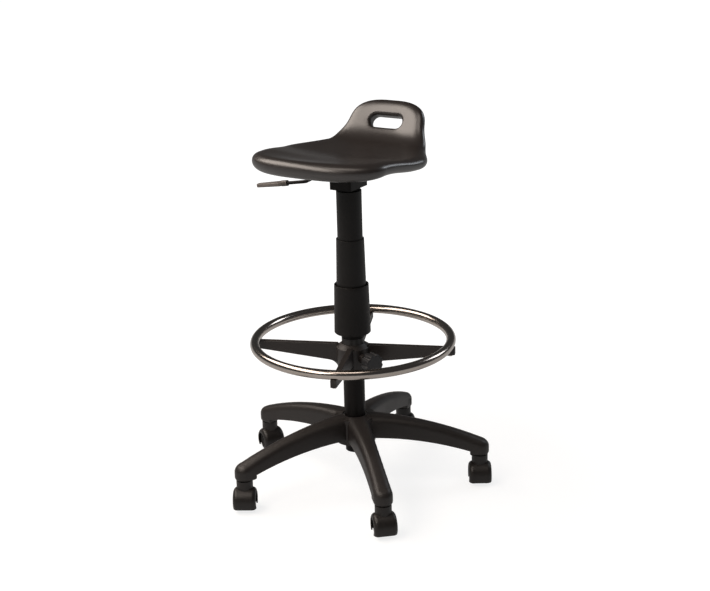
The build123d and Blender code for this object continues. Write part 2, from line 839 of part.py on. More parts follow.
# Lever: bent rod with an eye on a pivot pin, and a flat grip
lever_mid_z = lever_pivot_z - lever_mid_drop
lever_end_z = lever_pivot_z - lever_end_drop
with BuildPart() as lever_rod:
    with BuildLine() as route:
        FilletPolyline(
            (lever_reach_in, 0, lever_pivot_z),
            (-lever_bend_out, 0, lever_pivot_z),
            (-lever_mid_out, 0, lever_mid_z),
            (-lever_end_out, 0, lever_end_z),
            radius=lever_bend_r,
        )
    with BuildSketch(Plane(origin=(lever_reach_in, 0, lever_pivot_z), z_dir=(-1, 0, 0))):
        Circle(lever_rod_d / 2)
    sweep()
    with BuildSketch(Plane.XZ):
        with Locations((-lever_pivot_out, lever_pivot_z)):
            Circle(lever_eye_d / 2)
    extrude(amount=lever_eye_width / 2, both=True)
    with BuildSketch(Plane.XZ):
        with Locations((-lever_pivot_out, lever_pivot_z)):
            Circle(lever_pin_d / 2 + running_fit)
    extrude(amount=lever_eye_width, both=True, mode=Mode.SUBTRACT)
save(lever_rod.part, "lever_rod")

with BuildPart() as lever_pin:
    with BuildSketch(Plane.XZ):
        with Locations((-lever_pivot_out, lever_pivot_z)):
            Circle(lever_pin_d / 2)
    extrude(amount=ear_in_y + ear_thick, both=True)
    chamfer(lever_pin.edges().filter_by(GeomType.CIRCLE), length=lever_pin_chamfer)
save(lever_pin.part, "lever_pin")

rod_run = Vector(lever_mid_out - lever_end_out, 0, lever_end_z - lever_mid_z).normalized()
rod_mid = Vector(-lever_mid_out, 0, lever_mid_z)
grip_start = rod_mid - rod_run * ((grip_start_out - lever_mid_out) / rod_run.X)
rod_in_grip = (grip_start_out - lever_end_out) / rod_run.X
grip_length = (grip_start_out - grip_end_out) / rod_run.X
collar_plane = Plane(origin=grip_start, x_dir=(0, 1, 0), z_dir=rod_run)
with BuildPart() as lever_grip:
    with BuildSketch(Plane(origin=grip_start, x_dir=rod_run, z_dir=(rod_run.Z, 0, -rod_run.X))) as outline:
        with BuildLine():
            Polyline(
                (grip_neck, grip_collar_d / 2),
                (grip_collar, grip_root_width / 2),
                (grip_length, grip_tip_width / 2),
                (grip_length, -grip_tip_width / 2),
                (grip_collar, -grip_root_width / 2),
                (grip_neck, -grip_collar_d / 2),
                close=True,
            )
        make_face()
        fillet(outline.vertices().filter_by(lambda v: v.X > grip_neck + pick_slack), radius=grip_corner)
    extrude(amount=grip_thick / 2, both=True)
    fillet(lever_grip.faces().sort_by(Axis.Z)[-1].edges(), radius=grip_round)
    fillet(lever_grip.faces().sort_by(Axis.Z)[0].edges(), radius=grip_round)
    with BuildSketch(collar_plane):
        Circle(grip_collar_d / 2)
    extrude(amount=grip_collar)
    with BuildSketch(collar_plane):
        Circle(lever_rod_d / 2 + fixed_fit)
    extrude(amount=rod_in_grip + fixed_fit, mode=Mode.SUBTRACT)
save(lever_grip.part, "lever_grip")

# Seat board with its tee nuts and bolts
board_top_z = plate_top_z + board_thick
with BuildPart() as seat_board:
    with BuildSketch(Plane.XY.offset(plate_top_z)):
        RectangleRounded(board_size, board_size, board_corner)
    extrude(amount=board_thick)
    with Locations((0, 0, board_top_z)):
        with GridLocations(bolt_pitch, bolt_pitch, 2, 2):
            CounterBoreHole(nut_barrel_d / 2 + fixed_fit, nut_flange_d / 2 + fixed_fit, nut_flange)
save(seat_board.part, "seat_board")

with BuildPart() as tee_nuts:
    with GridLocations(bolt_pitch, bolt_pitch, 2, 2):
        with Locations((0, 0, board_top_z - nut_flange)):
            Cylinder(nut_flange_d / 2, nut_flange, align=lower)
        with Locations((0, 0, board_top_z - nut_barrel)):
            Cylinder(nut_barrel_d / 2, nut_barrel, align=lower)
            Cylinder(bolt_d / 2 + running_fit, nut_barrel, align=lower, mode=Mode.SUBTRACT)
save(tee_nuts.part, "tee_nuts")

with BuildPart() as seat_bolts:
    with GridLocations(bolt_pitch, bolt_pitch, 2, 2):
        with Locations((0, 0, plate_low_z - bolt_head)):
            Cylinder(bolt_head_d / 2, bolt_head, align=lower)
            Cylinder(bolt_d / 2, bolt_head + plate_thick + board_thick - nut_flange, align=lower)
save(seat_bolts.part, "seat_bolts")

# Seat cushion: one moulded piece, lofted through sections square to its middle line
bend_length = seat_bend_r * radians(back_rise)
pan_length = seat_front + seat_bend
seat_length = pan_length + bend_length + back_straight


def smooth_value(s, knots):
    """Value at s on a smooth curve through places and values, which never overshoots them."""
    steps = [b[0] - a[0] for a, b in zip(knots, knots[1:])]
    rises = [(b[1] - a[1]) / step for a, b, step in zip(knots, knots[1:], steps)]
    slopes = [rises[0]]
    for before, after in zip(rises, rises[1:]):
        slopes.append(2 * before * after / (before + after) if before * after > 0 else 0)
    slopes.append(rises[-1])
    k = sum(s > place for place, value in knots[1:-1])
    t = min(max((s - knots[k][0]) / steps[k], 0), 1)
    start = knots[k][1] * (1 + 2 * t) + slopes[k] * steps[k] * t
    end = knots[k + 1][1] * (3 - 2 * t) - slopes[k + 1] * steps[k] * (1 - t)
    return start * (1 - t) ** 2 + end * t**2


def seat_spine(s):
    """Place on the middle line at this distance from the front: y, z and the angle it has turned."""
    turn = min(max(s - pan_length, 0) / seat_bend_r, radians(back_rise))
    straight = max(s - pan_length - bend_length, 0)
    y = min(s, pan_length) - seat_front + seat_bend_r * sin(turn) + straight * cos(turn)
    z = seat_mid_z + seat_bend_r * (1 - cos(turn)) + straight * sin(turn)
    third = pan_length / 3
    lift = smooth_value(s, [(0, front_lift), (third, thigh_lift), (2 * third, -hollow_drop), (pan_length, 0)])
    return y, z + lift, turn


def seat_half_width(s):
    """Half the cushion's width: a round front, wide hips, a narrow back and round top corners."""
    half = smooth_value(
        s,
        [
            (front_depth, front_half),
            (seat_front + hip_back, hip_half),
            (pan_length + bend_length / 2, waist_half),
            (seat_length - back_narrow, back_half),
            (seat_length, top_half),
        ],
    )
    front = max(0, 1 - s / front_depth)
    top = max(0, 1 - (seat_length - s) / back_corner)
    return half * sqrt(1 - front**2) * (1 - top**back_corner_power) ** (1 / back_corner_power)


def seat_half_thick(s):
    """Half the cushion's thickness, rounded away at the front and top edges."""
    knots = [(0, front_thick), (seat_front, pan_thick), (pan_length + bend_length, back_thick)]
    half = smooth_value(s, knots) / 2
    edge = min(1, min(s, seat_length - s) / half)
    return half * sqrt(1 - (1 - edge) ** 2)


stations = [
    tip_trim,
    *(share * front_depth for share in end_shares),
    front_depth,
    seat_front - 2 * hip_back,
    seat_front + hip_back,
    seat_front + 3 * hip_back,
    pan_length,
    pan_length + bend_length / 2,
    pan_length + bend_length,
    *(seat_length - share * back_corner for share in reversed(end_shares)),
    seat_length - tip_trim,
]
with BuildPart() as seat_cushion:
    for s in stations:
        y, z, turn = seat_spine(s)
        w = seat_half_width(s)
        h = seat_half_thick(s)
        flat = w - h
        k = h * sqrt(0.5)
        section = Plane(origin=(0, y, z), x_dir=(-1, 0, 0), z_dir=(0, cos(turn), sin(turn)))
        with BuildSketch(section):
            with BuildLine():
                sag = dish * flat / hip_half
                ThreePointArc((-flat, h), (0, h - sag), (flat, h))
                ThreePointArc((flat, h), (flat + k, k), (w, 0))
                ThreePointArc((w, 0), (flat + k, -k), (flat, -h))
                Line((flat, -h), (-flat, -h))
                ThreePointArc((-flat, -h), (-flat - k, -k), (-w, 0))
                ThreePointArc((-w, 0), (-flat - k, k), (-flat, h))
            make_face()
    loft()
    boss_size = board_size + 2 * boss_margin
    with BuildSketch(Plane.XY.offset(plate_top_z)):
        RectangleRounded(boss_size, boss_size, board_corner + boss_margin)
    extrude(amount=board_thick + boss_rise, taper=-boss_flare)
    pocket_size = board_size + 2 * fixed_fit
    with BuildSketch(Plane.XY.offset(plate_top_z)):
        RectangleRounded(pocket_size, pocket_size, board_corner + fixed_fit)
    extrude(amount=board_thick + fixed_fit, mode=Mode.SUBTRACT)
    slot_y, slot_z, slot_turn = seat_spine(seat_length - slot_from_top)
    slot_normal = (0, -sin(slot_turn), cos(slot_turn))
    with BuildSketch(Plane(origin=(0, slot_y, slot_z), x_dir=(1, 0, 0), z_dir=slot_normal)):
        SlotOverall(slot_length, slot_width)
    extrude(amount=back_thick, both=True, mode=Mode.SUBTRACT)
    slot_rims = seat_cushion.edges(Select.LAST).filter_by(Axis((0, 0, 0), slot_normal), reverse=True)
    fillet(slot_rims, radius=slot_round)
save(seat_cushion.part, "seat_cushion")
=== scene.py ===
import json
from math import cos, pi, radians, sin

import bmesh
import bpy
import numpy as np
from mathutils import Matrix, Vector
from mathutils.geometry import delaunay_2d_cdt


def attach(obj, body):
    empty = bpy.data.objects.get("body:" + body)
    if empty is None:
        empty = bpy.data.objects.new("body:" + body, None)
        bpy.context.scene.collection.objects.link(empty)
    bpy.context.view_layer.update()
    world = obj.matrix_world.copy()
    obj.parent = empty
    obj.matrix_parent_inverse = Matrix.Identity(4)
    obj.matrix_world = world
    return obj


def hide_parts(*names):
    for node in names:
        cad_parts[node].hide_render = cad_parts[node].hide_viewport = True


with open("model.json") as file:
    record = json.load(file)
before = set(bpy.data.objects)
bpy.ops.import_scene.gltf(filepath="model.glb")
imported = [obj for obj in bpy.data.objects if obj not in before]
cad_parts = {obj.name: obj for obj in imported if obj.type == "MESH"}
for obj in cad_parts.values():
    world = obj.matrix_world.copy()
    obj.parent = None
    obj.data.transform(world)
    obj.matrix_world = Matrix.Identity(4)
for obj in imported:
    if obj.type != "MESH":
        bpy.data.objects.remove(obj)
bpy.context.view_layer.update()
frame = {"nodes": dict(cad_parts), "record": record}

# Seat form in metres: a middle line from the front edge to the top of the back
seat_front = 0.210
seat_bend = 0.108
seat_bend_r = 0.078
back_rise = radians(56.5)
back_straight = 0.0675
front_depth = 0.098
front_power = 2.07
back_corner = 0.076
back_corner_power = 2.6
dish = 0.004
dish_reach = 0.070
slot_from_top = 0.056
slot_length = 0.084
slot_width = 0.030
slot_round = 0.008
boss_bottom_z = 0.768
boss_half = 0.118
boss_corner = 0.048
boss_slope = 2.14
boss_end_turn = 0.3
board_half = 0.110
board_corner = 0.040
board_top_z = 0.780
edge_width_share = 0.180
edge_lift_power = 2.2
top_edge_power = 2.2

# Foot ring, casters and screws
ring_z = 0.356
ring_r = 0.2285
ring_tube_r = 0.011
leg_count = 5
leg_turn = 25.0
stem_circle_r = 0.295
caster_trail = 0.005
caster_heading = (-59.0, -45.0, -32.0, -61.0, -48.0)
wheel_d = 0.050
wheel_width = 0.0145
wheel_gap = 0.014

# Camera fitted to the photograph
camera_place = (1.6666, -2.6671, 1.4917)
camera_tilt = radians(18.10)
camera_pan = radians(0.14)
camera_roll = radians(-1.57)
camera_turn = radians(32.0)
camera_lens = 72.66
sensor_width = 36.0

# Levels of the floor and the backdrop
floor_half = 30.0
floor_grey = 0.3
floor_shine = 0.35
near_floor_level = 0.80
near_floor_reach = 0.5
far_floor_reach = 1.6
world_fill = 0.22
horizon_shine = 0.4
overhead_shine = 0.05
horizon_height = 0.1

# Mesh tolerances and shading
merge_gap = 1e-7
weld_gap = 1e-6
crisp_angle = radians(32)
plan_slack = 1e-6
least_width = 1e-4


def socket_id(tree, label):
    """The identifier of a tree's input with this name."""
    for item in tree.interface.items_tree:
        if item.in_out == "INPUT" and item.name == label:
            return item.identifier
    raise KeyError(label)


def add_node(tree, kind, values=None, **settings):
    """A new node with its settings and its unlinked input values."""
    node = tree.nodes.new(kind)
    for name, value in settings.items():
        setattr(node, name, value)
    for key, value in (values or {}).items():
        node.inputs[key].default_value = value
    return node


# Shader groups


def new_shader_group(name, inputs, outputs):
    """An empty shader group with named sockets, and its input and output nodes."""
    group = bpy.data.node_groups.new(name, "ShaderNodeTree")
    for label, kind, value in inputs:
        socket = group.interface.new_socket(label, in_out="INPUT", socket_type=kind)
        socket.default_value = value
    for label, kind in outputs:
        group.interface.new_socket(label, in_out="OUTPUT", socket_type=kind)
    return group, group.nodes.new("NodeGroupInput"), group.nodes.new("NodeGroupOutput")


def make_grain_group():
    """Moulded grain: pebbled cells with fine pores between them, as a height."""
    group, given, result = new_shader_group(
        "Moulded Grain",
        [
            ("Cell Scale", "NodeSocketFloat", 900.0),
            ("Pore Scale", "NodeSocketFloat", 2600.0),
            ("Pore Share", "NodeSocketFloat", 0.35),
        ],
        [("Height", "NodeSocketFloat"), ("Cells", "NodeSocketFloat")],
    )
    place = add_node(group, "ShaderNodeTexCoord")
    bend = add_node(group, "ShaderNodeTexNoise", {"Scale": 220.0, "Detail": 2.0})
    shift = add_node(group, "ShaderNodeVectorMath", operation="MULTIPLY_ADD")
    shift.inputs[1].default_value = (0.0009, 0.0009, 0.0009)
    cells = add_node(group, "ShaderNodeTexVoronoi", {"Smoothness": 0.6}, feature="SMOOTH_F1")
    pores = add_node(group, "ShaderNodeTexNoise", {"Detail": 3.0, "Roughness": 0.6})
    mix = add_node(group, "ShaderNodeMix", data_type="FLOAT")
    links = group.links
    links.new(place.outputs["Object"], bend.inputs["Vector"])
    links.new(bend.outputs["Color"], shift.inputs[0])
    links.new(place.outputs["Object"], shift.inputs[2])
    links.new(shift.outputs["Vector"], cells.inputs["Vector"])
    links.new(given.outputs["Cell Scale"], cells.inputs["Scale"])
    links.new(place.outputs["Object"], pores.inputs["Vector"])
    links.new(given.outputs["Pore Scale"], pores.inputs["Scale"])
    links.new(given.outputs["Pore Share"], mix.inputs["Factor"])
    links.new(cells.outputs["Distance"], mix.inputs["A"])
    links.new(pores.outputs["Fac"], mix.inputs["B"])
    links.new(mix.outputs["Result"], result.inputs["Height"])
    links.new(cells.outputs["Distance"], result.inputs["Cells"])
    return group


def make_handling_group():
    """Handling marks: slow changes of tone and gloss, with a few faint rubs."""
    group, given, result = new_shader_group(
        "Handling Marks",
        [
            ("Colour", "NodeSocketColor", (0.02, 0.02, 0.02, 1.0)),
            ("Rubbed Colour", "NodeSocketColor", (0.04, 0.04, 0.04, 1.0)),
            ("Mark Scale", "NodeSocketFloat", 9.0),
            ("Amount", "NodeSocketFloat", 0.5),
            ("Roughness", "NodeSocketFloat", 0.45),
            ("Gloss Swing", "NodeSocketFloat", 0.12),
        ],
        [("Colour", "NodeSocketColor"), ("Roughness", "NodeSocketFloat")],
    )
    place = add_node(group, "ShaderNodeTexCoord")
    slow = add_node(group, "ShaderNodeTexNoise", {"Detail": 4.0, "Roughness": 0.55})
    spread = add_node(group, "ShaderNodeMapRange", {"From Min": 0.35, "From Max": 0.75})
    share = add_node(group, "ShaderNodeMath", operation="MULTIPLY")
    tint = add_node(group, "ShaderNodeMix", data_type="RGBA")
    swing = add_node(group, "ShaderNodeMath", operation="MULTIPLY_ADD")
    links = group.links
    links.new(place.outputs["Object"], slow.inputs["Vector"])
    links.new(given.outputs["Mark Scale"], slow.inputs["Scale"])
    links.new(slow.outputs["Fac"], spread.inputs["Value"])
    links.new(spread.outputs["Result"], share.inputs[0])
    links.new(given.outputs["Amount"], share.inputs[1])
    links.new(share.outputs["Value"], tint.inputs["Factor"])
    links.new(given.outputs["Colour"], tint.inputs["A"])
    links.new(given.outputs["Rubbed Colour"], tint.inputs["B"])
    links.new(spread.outputs["Result"], swing.inputs[0])
    links.new(given.outputs["Gloss Swing"], swing.inputs[1])
    links.new(given.outputs["Roughness"], swing.inputs[2])
    links.new(tint.outputs["Result"], result.inputs["Colour"])
    links.new(swing.outputs["Value"], result.inputs["Roughness"])
    return group


def make_dust_group():
    """Dust that settles on faces that look up: a mask with a broken edge."""
    group, given, result = new_shader_group(
        "Settled Dust",
        [
            ("Colour", "NodeSocketColor", (0.02, 0.02, 0.02, 1.0)),
            ("Dust Colour", "NodeSocketColor", (0.16, 0.14, 0.12, 1.0)),
            ("Speck Scale", "NodeSocketFloat", 140.0),
            ("Amount", "NodeSocketFloat", 0.1),
        ],
        [("Colour", "NodeSocketColor")],
    )
    place = add_node(group, "ShaderNodeTexCoord")
    facing = add_node(group, "ShaderNodeNewGeometry")
    split = add_node(group, "ShaderNodeSeparateXYZ")
    upward = add_node(group, "ShaderNodeMapRange", {"From Min": 0.55, "From Max": 1.0})
    specks = add_node(group, "ShaderNodeTexNoise", {"Detail": 5.0, "Roughness": 0.7})
    broken = add_node(group, "ShaderNodeMapRange", {"From Min": 0.4, "From Max": 0.7})
    both = add_node(group, "ShaderNodeMath", operation="MULTIPLY")
    share = add_node(group, "ShaderNodeMath", operation="MULTIPLY")
    tint = add_node(group, "ShaderNodeMix", data_type="RGBA")
    links = group.links
    links.new(facing.outputs["Normal"], split.inputs["Vector"])
    links.new(split.outputs["Z"], upward.inputs["Value"])
    links.new(place.outputs["Object"], specks.inputs["Vector"])
    links.new(given.outputs["Speck Scale"], specks.inputs["Scale"])
    links.new(specks.outputs["Fac"], broken.inputs["Value"])
    links.new(upward.outputs["Result"], both.inputs[0])
    links.new(broken.outputs["Result"], both.inputs[1])
    links.new(both.outputs["Value"], share.inputs[0])
    links.new(given.outputs["Amount"], share.inputs[1])
    links.new(share.outputs["Value"], tint.inputs["Factor"])
    links.new(given.outputs["Colour"], tint.inputs["A"])
    links.new(given.outputs["Dust Colour"], tint.inputs["B"])
    links.new(tint.outputs["Result"], result.inputs["Colour"])
    return group


grain_group = make_grain_group()
handling_group = make_handling_group()
dust_group = make_dust_group()


def place_group(tree, group, values):
    """A shader group in a material, with its own values."""
    node = tree.nodes.new("ShaderNodeGroup")
    node.node_tree = group
    for label, value in values.items():
        node.inputs[label].default_value = value
    return node


def shade(red, green, blue):
    """A colour with full alpha."""
    return (red, green, blue, 1.0)


def moulded(name, colour, rubbed, grain, marks, dust, depth, **surface):
    """A moulded or coated finish: grain in the bump, handling marks and dust in the colour."""
    made = bpy.data.materials.new(name)
    made.use_nodes = True
    tree = made.node_tree
    shader = tree.nodes["Principled BSDF"]
    for label, value in surface.items():
        shader.inputs[label.replace("_", " ")].default_value = value
    tones = {"Colour": shade(*colour), "Rubbed Colour": shade(*rubbed)}
    handled = place_group(tree, handling_group, {**tones, **marks})
    dusted = place_group(tree, dust_group, dust)
    grained = place_group(tree, grain_group, grain)
    bump = add_node(tree, "ShaderNodeBump", {"Strength": depth[0], "Distance": depth[1]})
    tree.links.new(handled.outputs["Colour"], dusted.inputs["Colour"])
    tree.links.new(dusted.outputs["Colour"], shader.inputs["Base Color"])
    tree.links.new(handled.outputs["Roughness"], shader.inputs["Roughness"])
    tree.links.new(grained.outputs["Height"], bump.inputs["Height"])
    tree.links.new(bump.outputs["Normal"], shader.inputs["Normal"])
    return made


def bright_metal(name, colour, stained, marks, depth, **surface):
    """A bare or plated metal: handling marks in colour and gloss, fine polish lines in the bump."""
    made = bpy.data.materials.new(name)
    made.use_nodes = True
    tree = made.node_tree
    shader = tree.nodes["Principled BSDF"]
    shader.inputs["Metallic"].default_value = 1.0
    for label, value in surface.items():
        shader.inputs[label.replace("_", " ")].default_value = value
    tones = {"Colour": shade(*colour), "Rubbed Colour": shade(*stained)}
    handled = place_group(tree, handling_group, {**tones, **marks})
    place = add_node(tree, "ShaderNodeTexCoord")
    lines = add_node(tree, "ShaderNodeTexNoise", {"Scale": 700.0, "Detail": 3.0})
    bump = add_node(tree, "ShaderNodeBump", {"Strength": depth[0], "Distance": depth[1]})
    tree.links.new(handled.outputs["Colour"], shader.inputs["Base Color"])
    tree.links.new(handled.outputs["Roughness"], shader.inputs["Roughness"])
    tree.links.new(place.outputs["Object"], lines.inputs["Vector"])
    tree.links.new(lines.outputs["Fac"], bump.inputs["Height"])
    tree.links.new(bump.outputs["Normal"], shader.inputs["Normal"])
    return made


fine_grain = {"Cell Scale": 1500.0, "Pore Scale": 3200.0, "Pore Share": 0.5}
skin_grain = {"Cell Scale": 700.0, "Pore Scale": 2400.0, "Pore Share": 0.25}
light_dust = {"Amount": 0.05}
seat_skin = moulded(
    "seat_skin",
    (0.0165, 0.0122, 0.0108),
    (0.025, 0.0195, 0.0172),
    skin_grain,
    {"Mark Scale": 7.0, "Amount": 0.5, "Roughness": 0.31, "Gloss Swing": 0.06},
    {"Amount": 0.01},
    (0.2, 0.0002),
    Specular_IOR_Level=1.0,
)
base_plastic = moulded(
    "base_plastic",
    (0.0165, 0.0130, 0.0117),
    (0.026, 0.0212, 0.0190),
    fine_grain,
    {"Mark Scale": 11.0, "Amount": 0.5, "Roughness": 0.42, "Gloss Swing": 0.10},
    light_dust,
    (0.18, 0.0003),
    Specular_IOR_Level=0.5,
)
cover_plastic = moulded(
    "cover_plastic",
    (0.0055, 0.0046, 0.0043),
    (0.0100, 0.0085, 0.0078),
    fine_grain,
    {"Mark Scale": 14.0, "Amount": 0.45, "Roughness": 0.48, "Gloss Swing": 0.08},
    {"Amount": 0.02},
    (0.14, 0.0003),
    Specular_IOR_Level=0.3,
)
caster_plastic = moulded(
    "caster_plastic",
    (0.0130, 0.0106, 0.0097),
    (0.022, 0.0184, 0.0168),
    fine_grain,
    {"Mark Scale": 24.0, "Amount": 0.5, "Roughness": 0.38, "Gloss Swing": 0.12},
    {"Amount": 0.05},
    (0.12, 0.0003),
    Specular_IOR_Level=0.45,
)
wheel_plastic = moulded(
    "wheel_plastic",
    (0.0115, 0.0105, 0.0098),
    (0.024, 0.0218, 0.0198),
    fine_grain,
    {"Mark Scale": 60.0, "Amount": 0.6, "Roughness": 0.48, "Gloss Swing": 0.12},
    {"Amount": 0.06},
    (0.2, 0.0004),
    Specular_IOR_Level=0.24,
)
knob_plastic = moulded(
    "knob_plastic",
    (0.0165, 0.0165, 0.0185),
    (0.028, 0.028, 0.031),
    fine_grain,
    {"Mark Scale": 40.0, "Amount": 0.5, "Roughness": 0.42, "Gloss Swing": 0.1},
    light_dust,
    (0.2, 0.0004),
    Specular_IOR_Level=0.45,
)
grip_plastic = moulded(
    "grip_plastic",
    (0.125, 0.110, 0.102),
    (0.18, 0.162, 0.15),
    fine_grain,
    {"Mark Scale": 50.0, "Amount": 0.5, "Roughness": 0.42, "Gloss Swing": 0.12},
    light_dust,
    (0.2, 0.0004),
    Specular_IOR_Level=0.5,
)
black_steel = moulded(
    "black_steel",
    (0.0068, 0.0057, 0.0053),
    (0.0125, 0.0107, 0.0098),
    {"Cell Scale": 1100.0, "Pore Scale": 2000.0, "Pore Share": 0.6},
    {"Mark Scale": 16.0, "Amount": 0.4, "Roughness": 0.42, "Gloss Swing": 0.1},
    {"Amount": 0.02},
    (0.16, 0.0003),
    Specular_IOR_Level=0.16,
)
bush_plastic = moulded(
    "bush_plastic",
    (0.0125, 0.0110, 0.0105),
    (0.021, 0.0188, 0.0178),
    fine_grain,
    {"Mark Scale": 30.0, "Amount": 0.4, "Roughness": 0.4, "Gloss Swing": 0.1},
    light_dust,
    (0.1, 0.0003),
)
buffer_rubber = moulded(
    "buffer_rubber",
    (0.012, 0.012, 0.012),
    (0.03, 0.029, 0.028),
    fine_grain,
    {"Mark Scale": 40.0, "Amount": 0.5, "Roughness": 0.7, "Gloss Swing": 0.1},
    light_dust,
    (0.3, 0.0004),
)
ring_chrome = bright_metal(
    "ring_chrome",
    (0.50, 0.45, 0.41),
    (0.42, 0.37, 0.33),
    {"Mark Scale": 30.0, "Amount": 0.5, "Roughness": 0.15, "Gloss Swing": 0.05},
    (0.02, 0.0002),
)
bare_steel = bright_metal(
    "bare_steel",
    (0.56, 0.55, 0.54),
    (0.42, 0.40, 0.38),
    {"Mark Scale": 80.0, "Amount": 0.6, "Roughness": 0.28, "Gloss Swing": 0.15},
    (0.08, 0.0003),
)


def make_board_wood():
    """Plywood: long grain on the faces, darker glue lines through the thickness."""
    made = bpy.data.materials.new("board_wood")
    made.use_nodes = True
    tree = made.node_tree
    shader = tree.nodes["Principled BSDF"]
    shader.inputs["Roughness"].default_value = 0.62
    place = add_node(tree, "ShaderNodeTexCoord")
    stretch = add_node(tree, "ShaderNodeMapping", {"Scale": (1.0, 12.0, 1.0)})
    fibre = add_node(tree, "ShaderNodeTexNoise", {"Scale": 26.0, "Detail": 6.0})
    plies = add_node(tree, "ShaderNodeTexWave", {"Scale": 130.0, "Distortion": 0.6}, bands_direction="Z")
    tone = add_node(tree, "ShaderNodeMix", data_type="RGBA")
    tone.inputs["A"].default_value = shade(0.48, 0.33, 0.19)
    tone.inputs["B"].default_value = shade(0.30, 0.19, 0.10)
    layer = add_node(tree, "ShaderNodeMix", {"Factor": 0.25}, data_type="FLOAT")
    bump = add_node(tree, "ShaderNodeBump", {"Strength": 0.2, "Distance": 0.0004})
    links = tree.links
    links.new(place.outputs["Object"], stretch.inputs["Vector"])
    links.new(stretch.outputs["Vector"], fibre.inputs["Vector"])
    links.new(place.outputs["Object"], plies.inputs["Vector"])
    links.new(fibre.outputs["Fac"], layer.inputs["A"])
    links.new(plies.outputs["Fac"], layer.inputs["B"])
    links.new(layer.outputs["Result"], tone.inputs["Factor"])
    links.new(tone.outputs["Result"], shader.inputs["Base Color"])
    links.new(fibre.outputs["Fac"], bump.inputs["Height"])
    links.new(bump.outputs["Normal"], shader.inputs["Normal"])
    return made


finishes = {
    "seat_skin": seat_skin,
    "base_plastic": base_plastic,
    "cover_plastic": cover_plastic,
    "caster_plastic": caster_plastic,
    "wheel_plastic": wheel_plastic,
    "grip_plastic": grip_plastic,
    "black_steel": black_steel,
    "bare_steel": bare_steel,
    "ring_chrome": ring_chrome,
    "bush_plastic": bush_plastic,
    "buffer_rubber": buffer_rubber,
    "board_wood": make_board_wood(),
}


# Geometry trees


def new_geometry_tree(name, sizes):
    """A geometry tree with named inputs, a finish input and one mesh out, and its input and output nodes."""
    tree = bpy.data.node_groups.new(name, "GeometryNodeTree")
    tree.interface.new_socket("Mesh", in_out="OUTPUT", socket_type="NodeSocketGeometry")
    for label, kind, value in sizes:
        socket = tree.interface.new_socket(label, in_out="INPUT", socket_type=kind)
        socket.default_value = value
    tree.interface.new_socket("Finish", in_out="INPUT", socket_type="NodeSocketMaterial")
    return tree, tree.nodes.new("NodeGroupInput"), tree.nodes.new("NodeGroupOutput")


def end_tree(tree, given, result, last, smooth):
    """Closes a tree: real meshes, shading and the finish."""
    real = add_node(tree, "GeometryNodeRealizeInstances")
    shading = add_node(tree, "GeometryNodeSetShadeSmooth", {"Shade Smooth": smooth})
    finish = add_node(tree, "GeometryNodeSetMaterial")
    tree.links.new(last, real.inputs["Geometry"])
    tree.links.new(real.outputs["Geometry"], shading.inputs["Geometry"])
    tree.links.new(shading.outputs["Geometry"], finish.inputs["Geometry"])
    tree.links.new(given.outputs["Finish"], finish.inputs["Material"])
    tree.links.new(finish.outputs["Geometry"], result.inputs["Mesh"])


def grow(tree, name, values, finish):
    """What a tree makes with these values, as a plain mesh."""
    holder = bpy.data.objects.new(name + "_grown", bpy.data.meshes.new(name + "_grown"))
    bpy.context.scene.collection.objects.link(holder)
    modifier = holder.modifiers.new("tree", "NODES")
    modifier.node_group = tree
    for label, value in values.items():
        modifier[socket_id(tree, label)] = value
    modifier[socket_id(tree, "Finish")] = finish
    graph = bpy.context.evaluated_depsgraph_get()
    mesh = bpy.data.meshes.new_from_object(holder.evaluated_get(graph), depsgraph=graph)
    holder.modifiers.remove(modifier)
    bpy.data.objects.remove(holder)
    mesh.name = name
    return mesh


def make_ring_tree():
    """A round tube bent to a full circle."""
    tree, given, result = new_geometry_tree(
        "Bent Ring",
        [
            ("Ring Radius", "NodeSocketFloat", ring_r),
            ("Tube Radius", "NodeSocketFloat", ring_tube_r),
            ("Height", "NodeSocketFloat", ring_z),
            ("Ring Steps", "NodeSocketInt", 256),
            ("Tube Steps", "NodeSocketInt", 40),
        ],
    )
    path = add_node(tree, "GeometryNodeCurvePrimitiveCircle", mode="RADIUS")
    tube = add_node(tree, "GeometryNodeCurvePrimitiveCircle", mode="RADIUS")
    sweep = add_node(tree, "GeometryNodeCurveToMesh")
    lift = add_node(tree, "ShaderNodeCombineXYZ")
    place = add_node(tree, "GeometryNodeTransform")
    links = tree.links
    links.new(given.outputs["Ring Steps"], path.inputs["Resolution"])
    links.new(given.outputs["Ring Radius"], path.inputs["Radius"])
    links.new(given.outputs["Tube Steps"], tube.inputs["Resolution"])
    links.new(given.outputs["Tube Radius"], tube.inputs["Radius"])
    links.new(path.outputs["Curve"], sweep.inputs["Curve"])
    links.new(tube.outputs["Curve"], sweep.inputs["Profile Curve"])
    links.new(given.outputs["Height"], lift.inputs["Z"])
    links.new(sweep.outputs["Mesh"], place.inputs["Geometry"])
    links.new(lift.outputs["Vector"], place.inputs["Translation"])
    end_tree(tree, given, result, place.outputs["Geometry"], True)
    return tree


